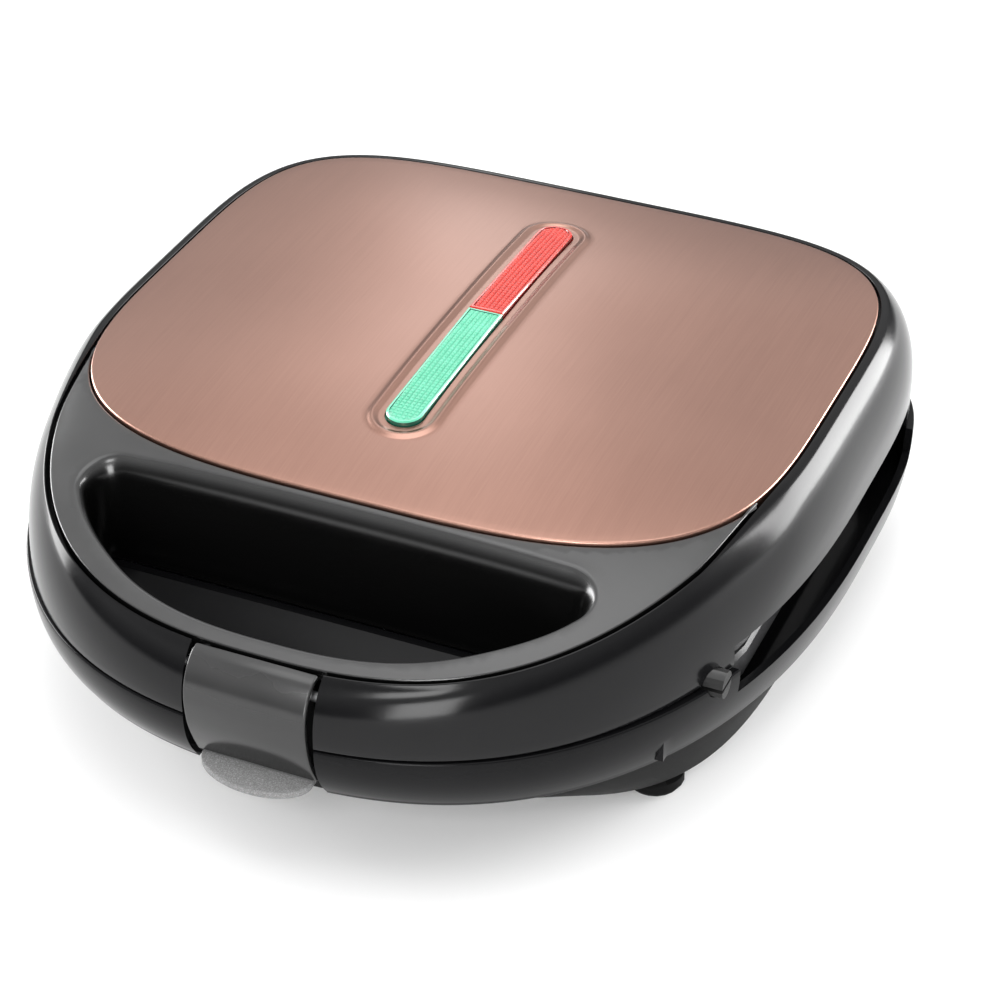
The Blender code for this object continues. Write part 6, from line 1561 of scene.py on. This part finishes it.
def base_skin():
    """Outer wall of the base, whose lower part turns in towards the bottom cover."""
    high = PARTING - PARTING_GAP / 2
    base_ring, foot_ring = BASE.ring(), SKIN_FOOT.ring()

    def wall_ring(share, inset, height):
        tuck = share ** TUCK_POWER
        return at_height(grown(mixed(base_ring, foot_ring, tuck), -inset), height)

    rings = []
    for turn in EDGE_TURNS:
        inset, drop = quarter(EDGE_ROUND, turn)
        rings.append(wall_ring(0.0, inset, high - drop))
    for i in range(1, SKIN_STEPS):
        share = i / SKIN_STEPS
        rings.append(wall_ring(share, 0.0, mix(high - EDGE_ROUND, SKIN_LOW + EDGE_ROUND, share)))
    for turn in FOOT_TURNS:
        inset, rise = quarter(EDGE_ROUND, turn)
        rings.append(wall_ring(1.0, inset, SKIN_LOW + rise))
    for share in SKIN_INNER_SHARES:
        rings.append(wall_ring(share, WALL, mix(high, SKIN_LOW, share)))
    shell = loft("base_skin_fine", rings, "base_black", joined=True)
    front = APRON_REAR + WALL / 2
    add(shell, apron(), carrier_deck("base", SKIN_FOOT.ring(), DECK_TOP - WALL, DECK_TOP, front))
    add(shell, keeper_wall())
    add(shell, *rods("add_base_post", POST_RADIUS, DECK_TOP - SCREW_LENGTH - WALL / 2,
                     DECK_TOP - WALL / 2, "dark_plastic", SCREW_PLACES))
    add(shell, *rods("add_cover_post", POST_RADIUS, TUB_FLOOR + WALL + GAP, DECK_TOP - WALL / 2,
                     "dark_plastic", BOTTOM_SCREW_PLACES))
    half = LATCH_HALF_WIDTH + LATCH_SIDE_GAP
    wide = BASE_HALF_WIDTH + OVERRUN
    cut(shell, box("cut_base_notch", (-half, BASE_FRONT - OVERRUN, SKIN_LOW - OVERRUN),
                  (half, KEEPER_WALL_Y, PARTING + OVERRUN)))
    cut_side_slots(shell, "base", SLOT_BOTTOM, PARTING + OVERRUN)
    cut(shell, box("cut_base_rear", (-wide, REAR_STEP_Y, BASE_REAR_EDGE),
                  (wide, BASE_BACK + OVERRUN, PARTING + OVERRUN)))
    add(shell, rear_wall(), hinge_arm(-1), hinge_arm(1))
    cut(shell, release_hole("cut_base_release"), gland_hole("cut_skin_gland"), hinge_hole("cut_arm_holes"))
    cut(shell, *screw_cutters("cut_base_screw", -1, FLANGE_FAR, FLANGE_FAR + SCREW_LENGTH - WALL / 2))
    cut(shell, block_space("cut_base_block", -1))
    cut(shell, *rods("cut_post", SCREW_RADIUS + GAP, TUB_FLOOR, TUB_FLOOR + BOTTOM_SCREW_LENGTH + GAP,
                     "bare_metal", BOTTOM_SCREW_PLACES))
    return placed(baked(shell), "base", "base_skin", slot="gloss_black")


def bottom_cover():
    """Bowl that closes the base, from inside the skin's foot down to the flat floor."""
    foot = grown(SKIN_FOOT.ring(), -WALL - GAP)
    tuck_in = grown(SKIN_FOOT.ring(), -WALL - 2 * GAP)
    shoulder = Outline(TUB_SHOULDER_HALF_WIDTH, TUB_SHOULDER_FRONT, BASE_MIDDLE, TUB_BACK + WALL,
                       (LID_FRONT_SQUARENESS + TUB_SQUARENESS) / 2, TUB_SQUARENESS).ring()
    tub = Outline(TUB_HALF_WIDTH, TUB_FRONT, BASE_MIDDLE, TUB_BACK, TUB_SQUARENESS, TUB_SQUARENESS).ring()
    floor = grown(tub, -TUB_FLOOR_INSET)
    rim = SKIN_LOW + WALL * RIM_SHARE
    outer = [at_height(floor, TUB_FLOOR), at_height(tub, TUB_EDGE), at_height(shoulder, TUB_SHOULDER),
             at_height(tuck_in, SKIN_LOW - WALL / 2), at_height(foot, rim)]
    inner = [at_height(grown(foot, -WALL), rim), at_height(grown(tuck_in, -WALL), SKIN_LOW),
             at_height(grown(shoulder, -WALL), TUB_SHOULDER + WALL / 2),
             at_height(grown(tub, -WALL), TUB_EDGE + WALL),
             at_height(grown(floor, -WALL / 2), TUB_FLOOR + WALL)]
    cover = loft("bottom_cover_fine", outer + inner, "cover_black")
    cut(cover, *rods("cut_foot", FOOT_STEM + GAP, TUB_FLOOR - OVERRUN, TUB_FLOOR + OVERRUN, "rubber",
                     FOOT_PLACES))
    cut(cover, *rods("cut_cover_screw", SCREW_RADIUS + GAP, TUB_FLOOR - OVERRUN,
                     TUB_FLOOR + WALL + GAP * 2, "rubber", BOTTOM_SCREW_PLACES))
    cut(cover, gland_hole("cut_cover_gland"))
    return placed(baked(cover), "base", "bottom_cover", slot="dark_plastic")


def refined_rest():
    """Every other piece keeps its solid's shape, as a clean mesh with its own finish."""
    slots = {row["node"]: row["material_slot"] for row in frame["record"]["subparts"]}
    groups = frame["record"]["behaviour"]["bodies"]
    bodies = {node: body for body, nodes in groups.items() for node in nodes}
    kept = {"lid_shell", "base_skin", "bottom_cover", "handle_deck", "top_panel", "lens_red", "lens_green",
            "latch_cover", "latch_body"}
    for node in sorted(set(slots) - kept):
        refined(node, bodies[node], slots[node], 0.0, slot=slots[node])


# The object

lid_shell()
handle_deck()
top_panel()
knurl_nodes = knurl_tree()
lens("lens_green", STRIP_FRONT, STRIP_JOINT - GAP / 2, True, "green", knurl_nodes)
lens("lens_red", STRIP_JOINT + GAP / 2, STRIP_BACK, False, "red", knurl_nodes)
latch_cover()
latch_body()
base_skin()
bottom_cover()
refined_rest()


# Studio

LOOK_AT = (0.02705, -0.02078, 0.0600)
CAMERA_AZIMUTH = 23.41
CAMERA_ELEVATION = 34.85
CAMERA_DISTANCE = 0.85883
LENS = 102.92
SENSOR_WIDTH = 36
FLOOR_REACH = 12.0
FLOOR_TONE = 0.93
FLOOR_GLOW = 0.2

# Each lamp's name, place, aim, width, height, brightness and the way its height runs
UP = (0.0, 0.0, 1.0)
LAMPS = (
    ("ceiling", (0.0, 0.1, 1.7), (0.0, 0.1, 0.0), 1.4, 1.4, 2.4, (0.0, 1.0, 0.0)),
    ("left", (-1.30, 0.10, 0.34), (0.0, 0.0, 0.06), 0.9, 0.62, 14.0, UP),
    ("right_back", (0.95, 0.88, 0.34), (0.0, 0.0, 0.06), 0.85, 0.62, 15.0, UP),
    ("front_low", (0.35, -1.20, 0.28), (0.0, -0.1, 0.05), 0.40, 0.46, 10.0, UP),
    ("front", (0.15, -1.2, 1.0), (0.0, -0.1, 0.05), 0.45, 0.3, 11.0, UP),
    ("panel_strip", (-0.55, 1.2, 0.90), (0.0, 0.0, 0.088), 0.12, 0.8, 2.7, (0.0, -0.58, 0.81)),
)


def camera():
    data = bpy.data.cameras.new("camera")
    data.sensor_width = SENSOR_WIDTH
    data.lens = LENS
    thing = bpy.data.objects.new("camera", data)
    azimuth, elevation = math.radians(CAMERA_AZIMUTH), math.radians(CAMERA_ELEVATION)
    back = Vector((math.sin(azimuth) * math.cos(elevation), -math.cos(azimuth) * math.cos(elevation),
                   math.sin(elevation)))
    thing.location = Vector(LOOK_AT) + back * CAMERA_DISTANCE
    thing.rotation_euler = (-back).to_track_quat("-Z", "Y").to_euler()
    bpy.context.scene.collection.objects.link(thing)
    bpy.context.scene.camera = thing


def softbox(name, place, aim, width, height, radiance, along):
    """An even rectangular lamp with the brightness that its reflection shows."""
    data = bpy.data.lights.new(name, "AREA")
    data.shape = "RECTANGLE"
    data.size = width
    data.size_y = height
    data.energy = radiance * math.pi * width * height
    thing = bpy.data.objects.new(name, data)
    thing.location = place
    back = (Vector(place) - Vector(aim)).normalized()
    across = Vector(along).cross(back).normalized()
    upright = back.cross(across)
    thing.rotation_euler = Matrix((across, upright, back)).transposed().to_euler()
    bpy.context.scene.collection.objects.link(thing)


def floor():
    """A white floor that keeps the object's shadow."""
    bm = bmesh.new()
    corners = ((-1, -1), (1, -1), (1, 1), (-1, 1))
    bm.faces.new([bm.verts.new((x * FLOOR_REACH, y * FLOOR_REACH, 0.0)) for x, y in corners])
    mesh = bpy.data.meshes.new("floor")
    bm.to_mesh(mesh)
    bm.free()
    thing = bpy.data.objects.new("floor", mesh)
    bpy.context.scene.collection.objects.link(thing)
    material = bpy.data.materials.new("floor")
    material.use_nodes = True
    tree = material.node_tree
    graph = Graph(tree)
    shader = tree.nodes["Principled BSDF"]
    shader.inputs["Base Color"].default_value = (*grey(FLOOR_TONE), 1.0)
    shader.inputs["Roughness"].default_value = 0.9
    shader.inputs["Specular IOR Level"].default_value = 0.0
    rays = [graph.add("ShaderNodeLightPath", output=f"Is {kind} Ray")
            for kind in ("Camera", "Glossy", "Transmission")]
    white = graph.add("ShaderNodeEmission", {}, {"Color": (1.0, 1.0, 1.0, 1.0), "Strength": 1.0})
    share = (rays[0] + rays[1] + rays[2]) * FLOOR_GLOW
    surface = Signal(graph, shader.outputs[0])
    blend = graph.add("ShaderNodeMixShader", {}, {0: share, 1: surface, 2: white})
    graph.feed(tree.nodes["Material Output"].inputs["Surface"], blend)
    mesh.materials.append(material)


def surroundings():
    world = bpy.data.worlds.new("studio")
    world.use_nodes = True
    graph = Graph(world.node_tree)
    shader = world.node_tree.nodes["Background"]
    place = graph.add("ShaderNodeTexCoord", output="Generated")
    height = graph.add("ShaderNodeSeparateXYZ", {}, {0: place}, output="Z")
    low = graph.colour(height.between(0.08, 0.50), grey(0.10), grey(0.80))
    sky = graph.add("ShaderNodeMix", {"data_type": "RGBA"},
                    {0: height.between(0.55, 1.0), 6: low, 7: (*grey(0.40), 1.0)}, output=2)
    graph.feed(shader.inputs["Color"], sky)
    bpy.context.scene.world = world


camera()
floor()
surroundings()
for lamp in LAMPS:
    softbox(*lamp)
bpy.context.scene.view_settings.view_transform = "Standard"
